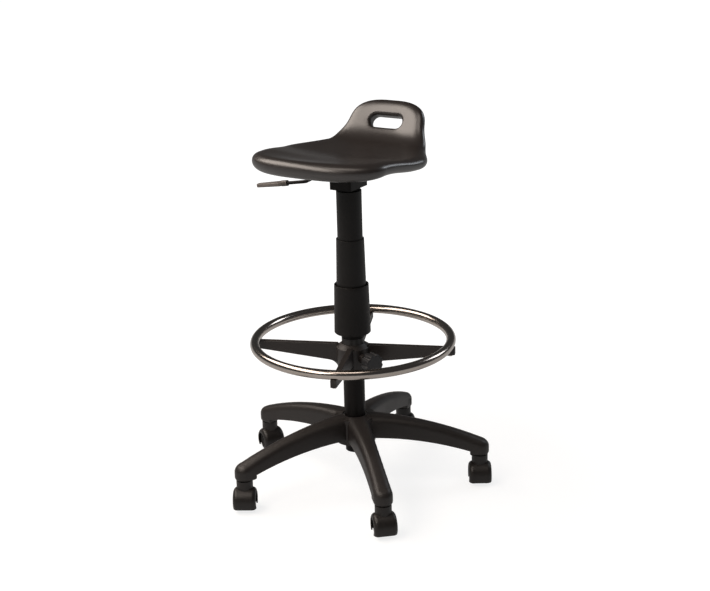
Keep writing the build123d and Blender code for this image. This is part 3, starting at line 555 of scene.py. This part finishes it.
def swept_band(tree, given, part):
    """A rounded band round the axle, from the tree's inputs for this part of the wheel."""
    path = add_node(tree, "GeometryNodeCurvePrimitiveCircle", {"Resolution": 72}, mode="RADIUS")
    profile = add_node(tree, "GeometryNodeCurvePrimitiveQuadrilateral", mode="RECTANGLE")
    rounded = add_node(tree, "GeometryNodeFilletCurve", {"Count": 8, "Limit Radius": True}, mode="POLY")
    sweep = add_node(tree, "GeometryNodeCurveToMesh")
    links = tree.links
    links.new(given.outputs[part + " Middle Radius"], path.inputs["Radius"])
    links.new(given.outputs[part + " Depth"], profile.inputs["Width"])
    links.new(given.outputs[part + " Width"], profile.inputs["Height"])
    links.new(profile.outputs["Curve"], rounded.inputs["Curve"])
    links.new(given.outputs[part + " Corner"], rounded.inputs["Radius"])
    links.new(path.outputs["Curve"], sweep.inputs["Curve"])
    links.new(rounded.outputs["Curve"], sweep.inputs["Profile Curve"])
    return sweep.outputs["Mesh"]


def make_wheel_tree():
    """A caster wheel: a round tread, a sunk web, a raised hub and its cap, turned to its axle."""
    tree, given, result = new_geometry_tree(
        "Caster Wheel",
        [
            ("Tread Middle Radius", "NodeSocketFloat", 0.018),
            ("Tread Depth", "NodeSocketFloat", 0.014),
            ("Tread Width", "NodeSocketFloat", wheel_width),
            ("Tread Corner", "NodeSocketFloat", 0.0050),
            ("Web Middle Radius", "NodeSocketFloat", 0.01205),
            ("Web Depth", "NodeSocketFloat", 0.0099),
            ("Web Width", "NodeSocketFloat", 0.0090),
            ("Web Corner", "NodeSocketFloat", 0.001),
            ("Hub Middle Radius", "NodeSocketFloat", 0.0063),
            ("Hub Depth", "NodeSocketFloat", 0.0044),
            ("Hub Width", "NodeSocketFloat", 0.0143),
            ("Hub Corner", "NodeSocketFloat", 0.0009),
            ("Cap Radius", "NodeSocketFloat", 0.0048),
            ("Cap Depth", "NodeSocketFloat", 0.0014),
            ("Cap Lift", "NodeSocketFloat", 0.0062),
            ("Axle Turn", "NodeSocketVector", (0.0, 0.0, 0.0)),
            ("Place", "NodeSocketVector", (0.0, 0.0, 0.0)),
        ],
    )
    join = add_node(tree, "GeometryNodeJoinGeometry")
    for part in ("Hub", "Web", "Tread"):
        tree.links.new(swept_band(tree, given, part), join.inputs["Geometry"])
    cap = add_node(tree, "GeometryNodeMeshCylinder", {"Vertices": 40})
    cap_lift = add_node(tree, "ShaderNodeCombineXYZ")
    cap_place = add_node(tree, "GeometryNodeTransform")
    tree.links.new(given.outputs["Cap Radius"], cap.inputs["Radius"])
    tree.links.new(given.outputs["Cap Depth"], cap.inputs["Depth"])
    tree.links.new(given.outputs["Cap Lift"], cap_lift.inputs["Z"])
    tree.links.new(cap.outputs["Mesh"], cap_place.inputs["Geometry"])
    tree.links.new(cap_lift.outputs["Vector"], cap_place.inputs["Translation"])
    tree.links.new(cap_place.outputs["Geometry"], join.inputs["Geometry"])
    place = add_node(tree, "GeometryNodeTransform")
    tree.links.new(join.outputs["Geometry"], place.inputs["Geometry"])
    tree.links.new(given.outputs["Axle Turn"], place.inputs["Rotation"])
    tree.links.new(given.outputs["Place"], place.inputs["Translation"])
    end_tree(tree, given, result, place.outputs["Geometry"], True)
    return tree


def make_screw_tree():
    """A round of screws with hexagon sockets, heads down."""
    tree, given, result = new_geometry_tree(
        "Screw Round",
        [
            ("Count", "NodeSocketInt", 4),
            ("Circle Radius", "NodeSocketFloat", ring_r),
            ("First Angle", "NodeSocketFloat", 0.0),
            ("Head Radius", "NodeSocketFloat", 0.00475),
            ("Head Height", "NodeSocketFloat", 0.003),
            ("Head Middle", "NodeSocketFloat", 0.3),
            ("Shank Radius", "NodeSocketFloat", 0.0025),
            ("Shank Length", "NodeSocketFloat", 0.02),
            ("Shank Middle", "NodeSocketFloat", 0.31),
            ("Key Radius", "NodeSocketFloat", 0.002),
        ],
    )
    links = tree.links
    ring = add_node(tree, "GeometryNodeMeshCircle", fill_type="NONE")
    turn = add_node(tree, "ShaderNodeCombineXYZ")
    turned = add_node(tree, "GeometryNodeTransform")
    links.new(given.outputs["Count"], ring.inputs["Vertices"])
    links.new(given.outputs["Circle Radius"], ring.inputs["Radius"])
    links.new(given.outputs["First Angle"], turn.inputs["Z"])
    links.new(ring.outputs["Mesh"], turned.inputs["Geometry"])
    links.new(turn.outputs["Vector"], turned.inputs["Rotation"])

    head = add_node(tree, "GeometryNodeMeshCylinder", {"Vertices": 32})
    key = add_node(tree, "GeometryNodeMeshCylinder", {"Vertices": 6})
    sink = add_node(tree, "ShaderNodeMath", operation="MULTIPLY")
    sink.inputs[1].default_value = -0.5
    drop = add_node(tree, "ShaderNodeCombineXYZ")
    lowered = add_node(tree, "GeometryNodeTransform")
    cut = add_node(tree, "GeometryNodeMeshBoolean", operation="DIFFERENCE")
    links.new(given.outputs["Head Radius"], head.inputs["Radius"])
    links.new(given.outputs["Head Height"], head.inputs["Depth"])
    links.new(given.outputs["Key Radius"], key.inputs["Radius"])
    links.new(given.outputs["Head Height"], key.inputs["Depth"])
    links.new(given.outputs["Head Height"], sink.inputs[0])
    links.new(sink.outputs["Value"], drop.inputs["Z"])
    links.new(key.outputs["Mesh"], lowered.inputs["Geometry"])
    links.new(drop.outputs["Vector"], lowered.inputs["Translation"])
    links.new(head.outputs["Mesh"], cut.inputs["Mesh 1"])
    links.new(lowered.outputs["Geometry"], cut.inputs["Mesh 2"])
    head_lift = add_node(tree, "ShaderNodeCombineXYZ")
    head_place = add_node(tree, "GeometryNodeTransform")
    links.new(given.outputs["Head Middle"], head_lift.inputs["Z"])
    links.new(cut.outputs["Mesh"], head_place.inputs["Geometry"])
    links.new(head_lift.outputs["Vector"], head_place.inputs["Translation"])

    shank = add_node(tree, "GeometryNodeMeshCylinder", {"Vertices": 24})
    shank_lift = add_node(tree, "ShaderNodeCombineXYZ")
    shank_place = add_node(tree, "GeometryNodeTransform")
    links.new(given.outputs["Shank Radius"], shank.inputs["Radius"])
    links.new(given.outputs["Shank Length"], shank.inputs["Depth"])
    links.new(given.outputs["Shank Middle"], shank_lift.inputs["Z"])
    links.new(shank.outputs["Mesh"], shank_place.inputs["Geometry"])
    links.new(shank_lift.outputs["Vector"], shank_place.inputs["Translation"])

    join = add_node(tree, "GeometryNodeJoinGeometry")
    spread = add_node(tree, "GeometryNodeInstanceOnPoints")
    links.new(head_place.outputs["Geometry"], join.inputs["Geometry"])
    links.new(shank_place.outputs["Geometry"], join.inputs["Geometry"])
    links.new(turned.outputs["Geometry"], spread.inputs["Points"])
    links.new(join.outputs["Geometry"], spread.inputs["Instance"])
    end_tree(tree, given, result, spread.outputs["Instances"], False)
    return tree


def set_piece(name, mesh, body, slot, finish, *nodes):
    """A finished mesh as a piece of the object that stands for some CAD nodes."""
    mesh.materials.clear()
    mesh.materials.append(finish)
    piece = bpy.data.objects.new(name, mesh)
    bpy.context.scene.collection.objects.link(piece)
    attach(piece, body)
    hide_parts(*nodes)
    return piece


def outward(mesh):
    """Merges a mesh's doubles and turns its faces outwards."""
    work = bmesh.new()
    work.from_mesh(mesh)
    bmesh.ops.remove_doubles(work, verts=work.verts, dist=merge_gap)
    bmesh.ops.recalc_face_normals(work, faces=work.faces)
    work.to_mesh(mesh)
    work.free()
    return mesh


# Seat cushion

bend_length = seat_bend_r * back_rise
pan_length = seat_front + seat_bend
bend_end = pan_length + bend_length
seat_length = bend_end + back_straight
slot_centre = seat_length - slot_from_top


def smooth_line(*knots):
    """A smooth curve through places and values that never overshoots them."""
    places, values = np.array(knots, float).T
    rise = np.diff(values) / np.diff(places)
    slope = np.concatenate([rise[:1], np.zeros(len(rise) - 1), rise[-1:]])
    for k in range(1, len(rise)):
        if rise[k - 1] * rise[k] > 0:
            slope[k] = 2 * rise[k - 1] * rise[k] / (rise[k - 1] + rise[k])

    def value(s):
        """The curve's value at one place or many."""
        s = np.clip(s, places[0], places[-1])
        k = np.clip(np.searchsorted(places, s) - 1, 0, len(rise) - 1)
        step = places[k + 1] - places[k]
        t = (s - places[k]) / step
        start = (1 + 2 * t) * (1 - t) ** 2 * values[k] + t * (1 - t) ** 2 * step * slope[k]
        end = t * t * (3 - 2 * t) * values[k + 1] + t * t * (t - 1) * step * slope[k + 1]
        return start + end

    return value


# Height of the pan's middle line, half width, thickness, edge lift and depth of the edge's rounding
pan_height = smooth_line((0, 0.8022), (0.105, 0.7977), (0.210, 0.7861), (pan_length, 0.7905))
side_half = smooth_line(
    (front_depth, 0.168),
    (0.230, 0.181),
    (0.354, 0.1205),
    (0.409, 0.1005),
    (seat_length, 0.1065),
)
thickness = smooth_line((0, 0.0405), (0.159, 0.0290), (bend_end, 0.0288), (seat_length, 0.0288))
edge_lift = smooth_line(
    (0, -0.0064),
    (0.159, 0.0045),
    (pan_length, -0.0059),
    (bend_end, 0.0098),
    (seat_length, 0.0098),
)
top_round = smooth_line((0, 0.024), (0.200, 0.028), (pan_length, 0.026), (seat_length, 0.026))
under_round = smooth_line((0, 0.017), (0.200, 0.020), (pan_length, 0.016), (seat_length, 0.016))


def spine(s):
    """Places on the seat's middle line at these distances from the front: y, z and the angle turned."""
    turn = np.clip((s - pan_length) / seat_bend_r, 0, back_rise)
    straight = np.clip(s - bend_end, 0, None)
    y = np.minimum(s, pan_length) - seat_front + seat_bend_r * np.sin(turn) + straight * np.cos(turn)
    z = pan_height(s) + seat_bend_r * (1 - np.cos(turn)) + straight * np.sin(turn)
    return y, z, turn


def half_width(s):
    """Half the cushion's width at these distances from the front."""
    front = np.clip(1 - s / front_depth, 0, 1)
    top = np.clip(1 - (seat_length - s) / back_corner, 0, 1)
    round_front = (1 - front**front_power) ** (1 / front_power)
    round_top = (1 - top**back_corner_power) ** (1 / back_corner_power)
    return side_half(s) * round_front * round_top


def even_loop(points, step):
    """A closed loop resampled at an even step."""
    points = np.array(points, float)
    closed = np.vstack([points, points[:1]])
    lengths = np.hypot(*np.diff(closed, axis=0).T)
    along = np.concatenate([[0], np.cumsum(lengths)])
    count = int(round(along[-1] / step))
    wanted = np.linspace(0, along[-1], count, endpoint=False)
    return np.column_stack([np.interp(wanted, along, closed[:, k]) for k in (0, 1)])


def seat_outline():
    """The cushion's flat outline as (distance from the front, sideways) points, anticlockwise."""
    s = seat_length * (0.5 - 0.5 * np.cos(np.linspace(0, pi, 1500)))
    right = np.column_stack([s, -half_width(s)])
    left = (right * (1, -1))[-2:0:-1]
    return even_loop(np.vstack([right, left]), outline_step)


def slot_outline():
    """The hand slot's narrowest outline in the same coordinates, clockwise."""
    r = slot_width / 2
    flat = slot_length / 2 - r
    angle = np.linspace(0, pi, 25)
    right = np.column_stack([slot_centre + r * np.cos(angle), flat + r * np.sin(angle)])
    left = np.column_stack([slot_centre - r * np.cos(angle), -flat - r * np.sin(angle)])
    return even_loop(np.vstack([right, left])[::-1], slot_step)


def loop_distance(points, loop):
    """Distance of each point from a closed loop, and whether it is inside."""
    near = np.full(len(points), 1e9)
    inside = np.zeros(len(points), bool)
    for a, b in zip(loop, np.roll(loop, -1, axis=0)):
        run = b - a
        t = np.clip(((points - a) @ run) / (run @ run), 0, 1)
        near = np.minimum(near, np.hypot(*(points - a - t[:, None] * run).T))
        crosses = (a[1] > points[:, 1]) != (b[1] > points[:, 1])
        share = (points[:, 1] - a[1]) / (run[1] or 1)
        inside ^= crosses & (points[:, 0] < a[0] + share * run[0])
    return near, inside


def inset_loop(loop, distance):
    """A loop moved to its left by a distance."""
    run = np.roll(loop, -1, axis=0) - np.roll(loop, 1, axis=0)
    run /= np.hypot(*run.T)[:, None]
    return loop + distance * np.column_stack([-run[:, 1], run[:, 0]])


def square_gap(x, y, half, corner):
    """Distances outside a rounded square round the column axis, negative inside."""
    dx = np.abs(x) - (half - corner)
    dy = np.abs(y) - (half - corner)
    return np.hypot(np.maximum(dx, 0), np.maximum(dy, 0)) + np.minimum(np.maximum(dx, dy), 0) - corner


def square_loop(half, corner):
    """A rounded square round the column axis, in the cushion's flat coordinates."""
    loop = []
    for quarter, (side_x, side_y) in enumerate(((1, 1), (-1, 1), (-1, -1), (1, -1))):
        for angle in np.linspace(pi / 2 * quarter, pi / 2 * (quarter + 1), 9):
            x = (half - corner) * side_x + corner * cos(angle)
            y = (half - corner) * side_y + corner * sin(angle)
            loop.append((y + seat_front, x))
    return even_loop(loop, outline_step)


def rounding(distance, reach, power):
    """Share of the full height at a distance from an edge that is rounded over this reach."""
    left = np.clip(1 - distance / reach, 0, 1)
    return (1 - left**power) ** (1 / power)


outline_step = 0.004
slot_step = 0.003
grid_step = 0.0065
grid_gap = 0.003
grid_half = 0.2
edge_steps = 12
under_edge_power = 2.0
slot_steps = 7
board_wall = 0.0006


def seat_plan(outline, slot):
    """Flat points of the cushion: rings along its edges, the board's pocket and an even grid between."""
    rings = [outline]
    reach = top_round(outline[:, 0])
    for k in range(1, edge_steps + 1):
        rings.append(inset_loop(outline, (reach * (1 - cos(pi / 2 * k / edge_steps)))[:, None]))
    rings.append(slot)
    for k in range(1, slot_steps + 1):
        rings.append(inset_loop(slot, slot_round * (1 - cos(pi / 2 * k / slot_steps))))
    pocket = [square_loop(board_half, board_corner), square_loop(board_half + board_wall, board_corner)]
    s, v = np.meshgrid(np.arange(0, seat_length, grid_step), np.arange(-grid_half, grid_half, grid_step))
    grid = np.column_stack([s.ravel(), v.ravel()])
    rim_gap, in_rim = loop_distance(grid, outline)
    slot_gap, in_slot = loop_distance(grid, slot)
    pocket_gap = np.abs(square_gap(grid[:, 1], grid[:, 0] - seat_front, board_half, board_corner))
    clear = (rim_gap > top_round(grid[:, 0]) + grid_gap) & (slot_gap > slot_round + grid_gap)
    keep = in_rim & ~in_slot & clear & (pocket_gap > grid_gap)
    for loop in pocket:
        gap, _ = loop_distance(loop, outline)
        rings.append(loop[gap > top_round(loop[:, 0]) + grid_gap / 2])
    return rings + [grid[keep]]


def make_seat_mesh():
    """The moulded cushion: a top and an underside that meet in a rounded rim, with a hand slot."""
    outline = seat_outline()
    slot = slot_outline()
    plan = seat_plan(outline, slot)
    rim_count = len(outline)
    slot_start = sum(len(ring) for ring in plan[: edge_steps + 1])
    fixed = [(k, (k + 1) % rim_count) for k in range(rim_count)]
    fixed += [(slot_start + k, slot_start + (k + 1) % len(slot)) for k in range(len(slot))]
    points = [Vector(p) for p in np.vstack(plan)]
    verts, _, faces, origin, _, _ = delaunay_2d_cdt(points, fixed, [], 0, plan_slack)
    flat = np.array([tuple(v) for v in verts])
    middles = np.array([flat[list(f)].mean(axis=0) for f in faces])
    in_rim = loop_distance(middles, outline)[1]
    in_slot = loop_distance(middles, slot)[1]
    kept = [f for f, rim, hole in zip(faces, in_rim, in_slot) if rim and not hole]

    s, v = flat.T
    rim_gap = loop_distance(flat, outline)[0]
    slot_gap = loop_distance(flat, slot)[0]
    on_rim = np.array([any(i < rim_count for i in o) for o in origin])
    rim_gap[on_rim] = 0.0
    y, z, turn = spine(s)
    half = thickness(s) / 2
    width = np.maximum(half_width(s), least_width)
    share = np.clip(np.abs(v) / width, 0, 1)
    lift = edge_lift(s) * share**edge_lift_power * width / edge_width_share
    slot_share = np.clip(1 - slot_gap / slot_round, 0, 1)
    slot_drop = slot_round * (1 - np.sqrt(1 - slot_share**2))
    inward = np.clip(rim_gap / dish_reach, 0, 1)
    sag = dish * (1 - share**2) ** 2 * inward**2 * (3 - 2 * inward)
    over = lift + np.maximum(half * rounding(rim_gap, top_round(s), top_edge_power) - sag - slot_drop, 0)
    over = np.where(on_rim, lift, over)
    under = lift - np.maximum(half * rounding(rim_gap, under_round(s), under_edge_power) - slot_drop, 0)
    top = np.column_stack([v, y - np.sin(turn) * over, z + np.cos(turn) * over])
    low = np.column_stack([v, y - np.sin(turn) * under, z + np.cos(turn) * under])
    boss = boss_bottom_z + boss_slope * np.maximum(square_gap(v, low[:, 1], boss_half, boss_corner), 0)
    low[:, 2] = np.where((turn < boss_end_turn) & ~on_rim, np.minimum(low[:, 2], boss), low[:, 2])
    in_pocket = square_gap(v, s - seat_front, board_half + board_wall / 2, board_corner) < 0
    low[in_pocket, 2] = board_top_z + board_wall / 2

    work = bmesh.new()
    tops = [work.verts.new(p) for p in top]
    lows = [t if rim else work.verts.new(p) for t, p, rim in zip(tops, low, on_rim)]
    for f in kept:
        work.faces.new([tops[k] for k in f])
        work.faces.new([lows[k] for k in reversed(f)])
    around = {i - slot_start: k for k, o in enumerate(origin) for i in o if 0 <= i - slot_start < len(slot)}
    wall = [around[i] for i in sorted(around)]
    for a, b in zip(wall, wall[1:] + wall[:1]):
        work.faces.new([tops[a], tops[b], lows[b], lows[a]])
    bmesh.ops.recalc_face_normals(work, faces=work.faces)
    for face in work.faces:
        face.smooth = True
    mesh = bpy.data.meshes.new("seat_cushion_skin")
    work.to_mesh(mesh)
    work.free()
    return mesh


seat = set_piece("seat_cushion_skin", make_seat_mesh(), "seat", "seat_skin", seat_skin, "seat_cushion")

# Foot ring, caster wheels and screws

ring_tree = make_ring_tree()
ring_mesh = outward(grow(ring_tree, "foot_ring_tube", {"Ring Radius": ring_r}, ring_chrome))
set_piece("foot_ring_tube", ring_mesh, "ring", "ring_chrome", ring_chrome, "foot_ring")

wheel_tree = make_wheel_tree()
for number, heading in enumerate(caster_heading, 1):
    angle = radians(leg_turn + (number - 1) * 360 / leg_count)
    turn = radians(heading)
    axle = Vector((stem_circle_r * cos(angle), stem_circle_r * sin(angle), wheel_d / 2))
    axle += caster_trail * Vector((cos(turn), sin(turn), 0))
    across = Vector((-sin(turn), cos(turn), 0))
    for side, sign in (("left", 1), ("right", -1)):
        name = f"caster_wheel_{side}_{number}"
        middle = axle + sign * (wheel_gap + wheel_width) / 2 * across
        values = {"Axle Turn": (sign * pi / 2, 0.0, turn + pi), "Place": tuple(middle)}
        mesh = outward(grow(wheel_tree, name + "_tread", values, wheel_plastic))
        set_piece(name + "_tread", mesh, f"wheel_{side}_{number}", "wheel_plastic", wheel_plastic, name)


screw_tree = make_screw_tree()
ring_screws = {
    "Circle Radius": ring_r,
    "First Angle": radians(21),
    "Head Radius": 0.00475,
    "Head Height": 0.003,
    "Head Middle": 0.32692,
    "Shank Radius": 0.0025,
    "Shank Length": 0.0206,
    "Shank Middle": 0.3387,
    "Key Radius": 0.0023,
}
seat_bolts = {
    "Circle Radius": 0.11314,
    "First Angle": radians(45),
    "Head Radius": 0.0055,
    "Head Height": 0.004,
    "Head Middle": 0.763,
    "Shank Radius": 0.003,
    "Shank Length": 0.0135,
    "Shank Middle": 0.77175,
    "Key Radius": 0.0028,
}
for node, body, values in (("ring_screws", "ring", ring_screws), ("seat_bolts", "seat", seat_bolts)):
    mesh = outward(grow(screw_tree, node + "_socket", values, bare_steel))
    set_piece(node + "_socket", mesh, body, "bare_steel", bare_steel, node)


def dress(name):
    """Gives a CAD node its finish and smooth shading with crisp edges."""
    node = frame["nodes"][name]
    slot = slots[name]
    node.data.materials.clear()
    node.data.materials.append(knob_plastic if name == "clamp_knob" else finishes[slot])
    weld = node.modifiers.new("weld", "WELD")
    weld.merge_threshold = weld_gap
    for face in node.data.polygons:
        face.use_smooth = True
    split = node.modifiers.new("crisp", "EDGE_SPLIT")
    split.split_angle = crisp_angle


slots = {row["node"]: row["material_slot"] for row in frame["record"]["subparts"]}
for name in sorted(frame["nodes"]):
    if not frame["nodes"][name].hide_render:
        dress(name)


# Camera

side_turn = Matrix.Rotation(camera_turn, 3, "Z")
forward = Vector((sin(camera_pan) * cos(camera_tilt), cos(camera_pan) * cos(camera_tilt), -sin(camera_tilt)))
forward = side_turn @ forward
level_right = forward.cross(Vector((0, 0, 1))).normalized()
level_up = level_right.cross(forward)
right = cos(camera_roll) * level_right + sin(camera_roll) * level_up
up = -sin(camera_roll) * level_right + cos(camera_roll) * level_up
camera_data = bpy.data.cameras.new("camera")
camera_data.sensor_width = sensor_width
camera_data.lens = camera_lens
camera = bpy.data.objects.new("camera", camera_data)
turn = Matrix((right, up, -forward)).transposed().to_4x4()
camera.matrix_world = Matrix.Translation(camera_place) @ turn
bpy.context.scene.collection.objects.link(camera)
bpy.context.scene.camera = camera

# Floor, light and backdrop


def make_floor():
    """A wide white floor that keeps the object's shadow and is plain white further away."""
    mesh = bpy.data.meshes.new("floor")
    sides = ((-1, -1), (1, -1), (1, 1), (-1, 1))
    corners = [(floor_half * x, floor_half * y, 0) for x, y in sides]
    mesh.from_pydata(corners, [], [(0, 1, 2, 3)])
    floor = bpy.data.objects.new("floor", mesh)
    bpy.context.scene.collection.objects.link(floor)
    finish = bpy.data.materials.new("floor_white")
    finish.use_nodes = True
    tree = finish.node_tree
    tree.nodes.remove(tree.nodes["Principled BSDF"])
    matte = add_node(tree, "ShaderNodeBsdfDiffuse", {"Color": shade(floor_grey, floor_grey, floor_grey)})
    glow = add_node(tree, "ShaderNodeEmission", {"Color": shade(1.0, 1.0, 1.0)})
    path = add_node(tree, "ShaderNodeLightPath")
    shiny = add_node(tree, "ShaderNodeMath", operation="MULTIPLY")
    shiny.inputs[1].default_value = floor_shine
    either = add_node(tree, "ShaderNodeMath", operation="MAXIMUM")
    place = add_node(tree, "ShaderNodeTexCoord")
    reach = add_node(tree, "ShaderNodeVectorMath", operation="LENGTH")
    reaches = {"From Min": near_floor_reach, "From Max": far_floor_reach}
    near = add_node(tree, "ShaderNodeMapRange", {**reaches, "To Min": near_floor_level, "To Max": 1.0})
    level = add_node(tree, "ShaderNodeMath", operation="MULTIPLY")
    both = add_node(tree, "ShaderNodeAddShader")
    links = tree.links
    links.new(path.outputs["Is Camera Ray"], either.inputs[0])
    links.new(path.outputs["Is Glossy Ray"], shiny.inputs[0])
    links.new(shiny.outputs["Value"], either.inputs[1])
    links.new(place.outputs["Object"], reach.inputs[0])
    links.new(reach.outputs["Value"], near.inputs["Value"])
    links.new(either.outputs["Value"], level.inputs[0])
    links.new(near.outputs["Result"], level.inputs[1])
    links.new(level.outputs["Value"], glow.inputs["Strength"])
    links.new(matte.outputs["BSDF"], both.inputs[0])
    links.new(glow.outputs["Emission"], both.inputs[1])
    links.new(both.outputs["Shader"], tree.nodes["Material Output"].inputs["Surface"])
    mesh.materials.append(finish)


def add_lamp(name, place, target, size, watts, colour):
    """A large soft lamp aimed at a point."""
    data = bpy.data.lights.new(name, "AREA")
    data.shape = "RECTANGLE"
    data.size = size[0]
    data.size_y = size[1]
    data.energy = watts
    data.color = colour
    lamp = bpy.data.objects.new(name, data)
    lamp.location = place
    lamp.rotation_mode = "QUATERNION"
    lamp.rotation_quaternion = (Vector(target) - Vector(place)).to_track_quat("-Z", "Y")
    bpy.context.scene.collection.objects.link(lamp)


def make_world():
    """White backdrop for what the camera and shiny faces see, dim overhead, with soft fill for the rest."""
    world = bpy.data.worlds.new("studio")
    bpy.context.scene.world = world
    world.use_nodes = True
    tree = world.node_tree
    ground = tree.nodes["Background"]
    ground.inputs["Color"].default_value = shade(1.0, 1.0, 1.0)
    path = add_node(tree, "ShaderNodeLightPath")
    place = add_node(tree, "ShaderNodeTexCoord")
    split = add_node(tree, "ShaderNodeSeparateXYZ")
    levels = {"To Min": horizon_shine, "To Max": overhead_shine}
    height = add_node(tree, "ShaderNodeMapRange", {"From Min": 0.0, "From Max": horizon_height, **levels})
    shiny = add_node(tree, "ShaderNodeMath", operation="MAXIMUM")
    seen = add_node(tree, "ShaderNodeMix", {"A": world_fill}, data_type="FLOAT")
    direct = add_node(tree, "ShaderNodeMix", {"B": 1.0}, data_type="FLOAT")
    links = tree.links
    links.new(place.outputs["Generated"], split.inputs["Vector"])
    links.new(split.outputs["Z"], height.inputs["Value"])
    links.new(path.outputs["Is Glossy Ray"], shiny.inputs[0])
    links.new(path.outputs["Is Transmission Ray"], shiny.inputs[1])
    links.new(shiny.outputs["Value"], seen.inputs["Factor"])
    links.new(height.outputs["Result"], seen.inputs["B"])
    links.new(path.outputs["Is Camera Ray"], direct.inputs["Factor"])
    links.new(seen.outputs["Result"], direct.inputs["A"])
    links.new(direct.outputs["Result"], ground.inputs["Strength"])


make_floor()
make_world()
lamp_target = (0.0, 0.0, 0.8)
warm_white = (1.0, 0.89, 0.80)
cool_white = (0.90, 0.94, 1.0)
add_lamp("key_light", (-1.31, -1.10, 2.34), lamp_target, (4.4, 1.3), 84.0, warm_white)
add_lamp("top_light", (0.26, -0.90, 3.0), lamp_target, (1.2, 0.8), 9.0, warm_white)
add_lamp("rear_light", (1.5, 2.6, 2.3), lamp_target, (1.2, 1.2), 18.0, cool_white)
bpy.context.scene.view_settings.view_transform = "Standard"
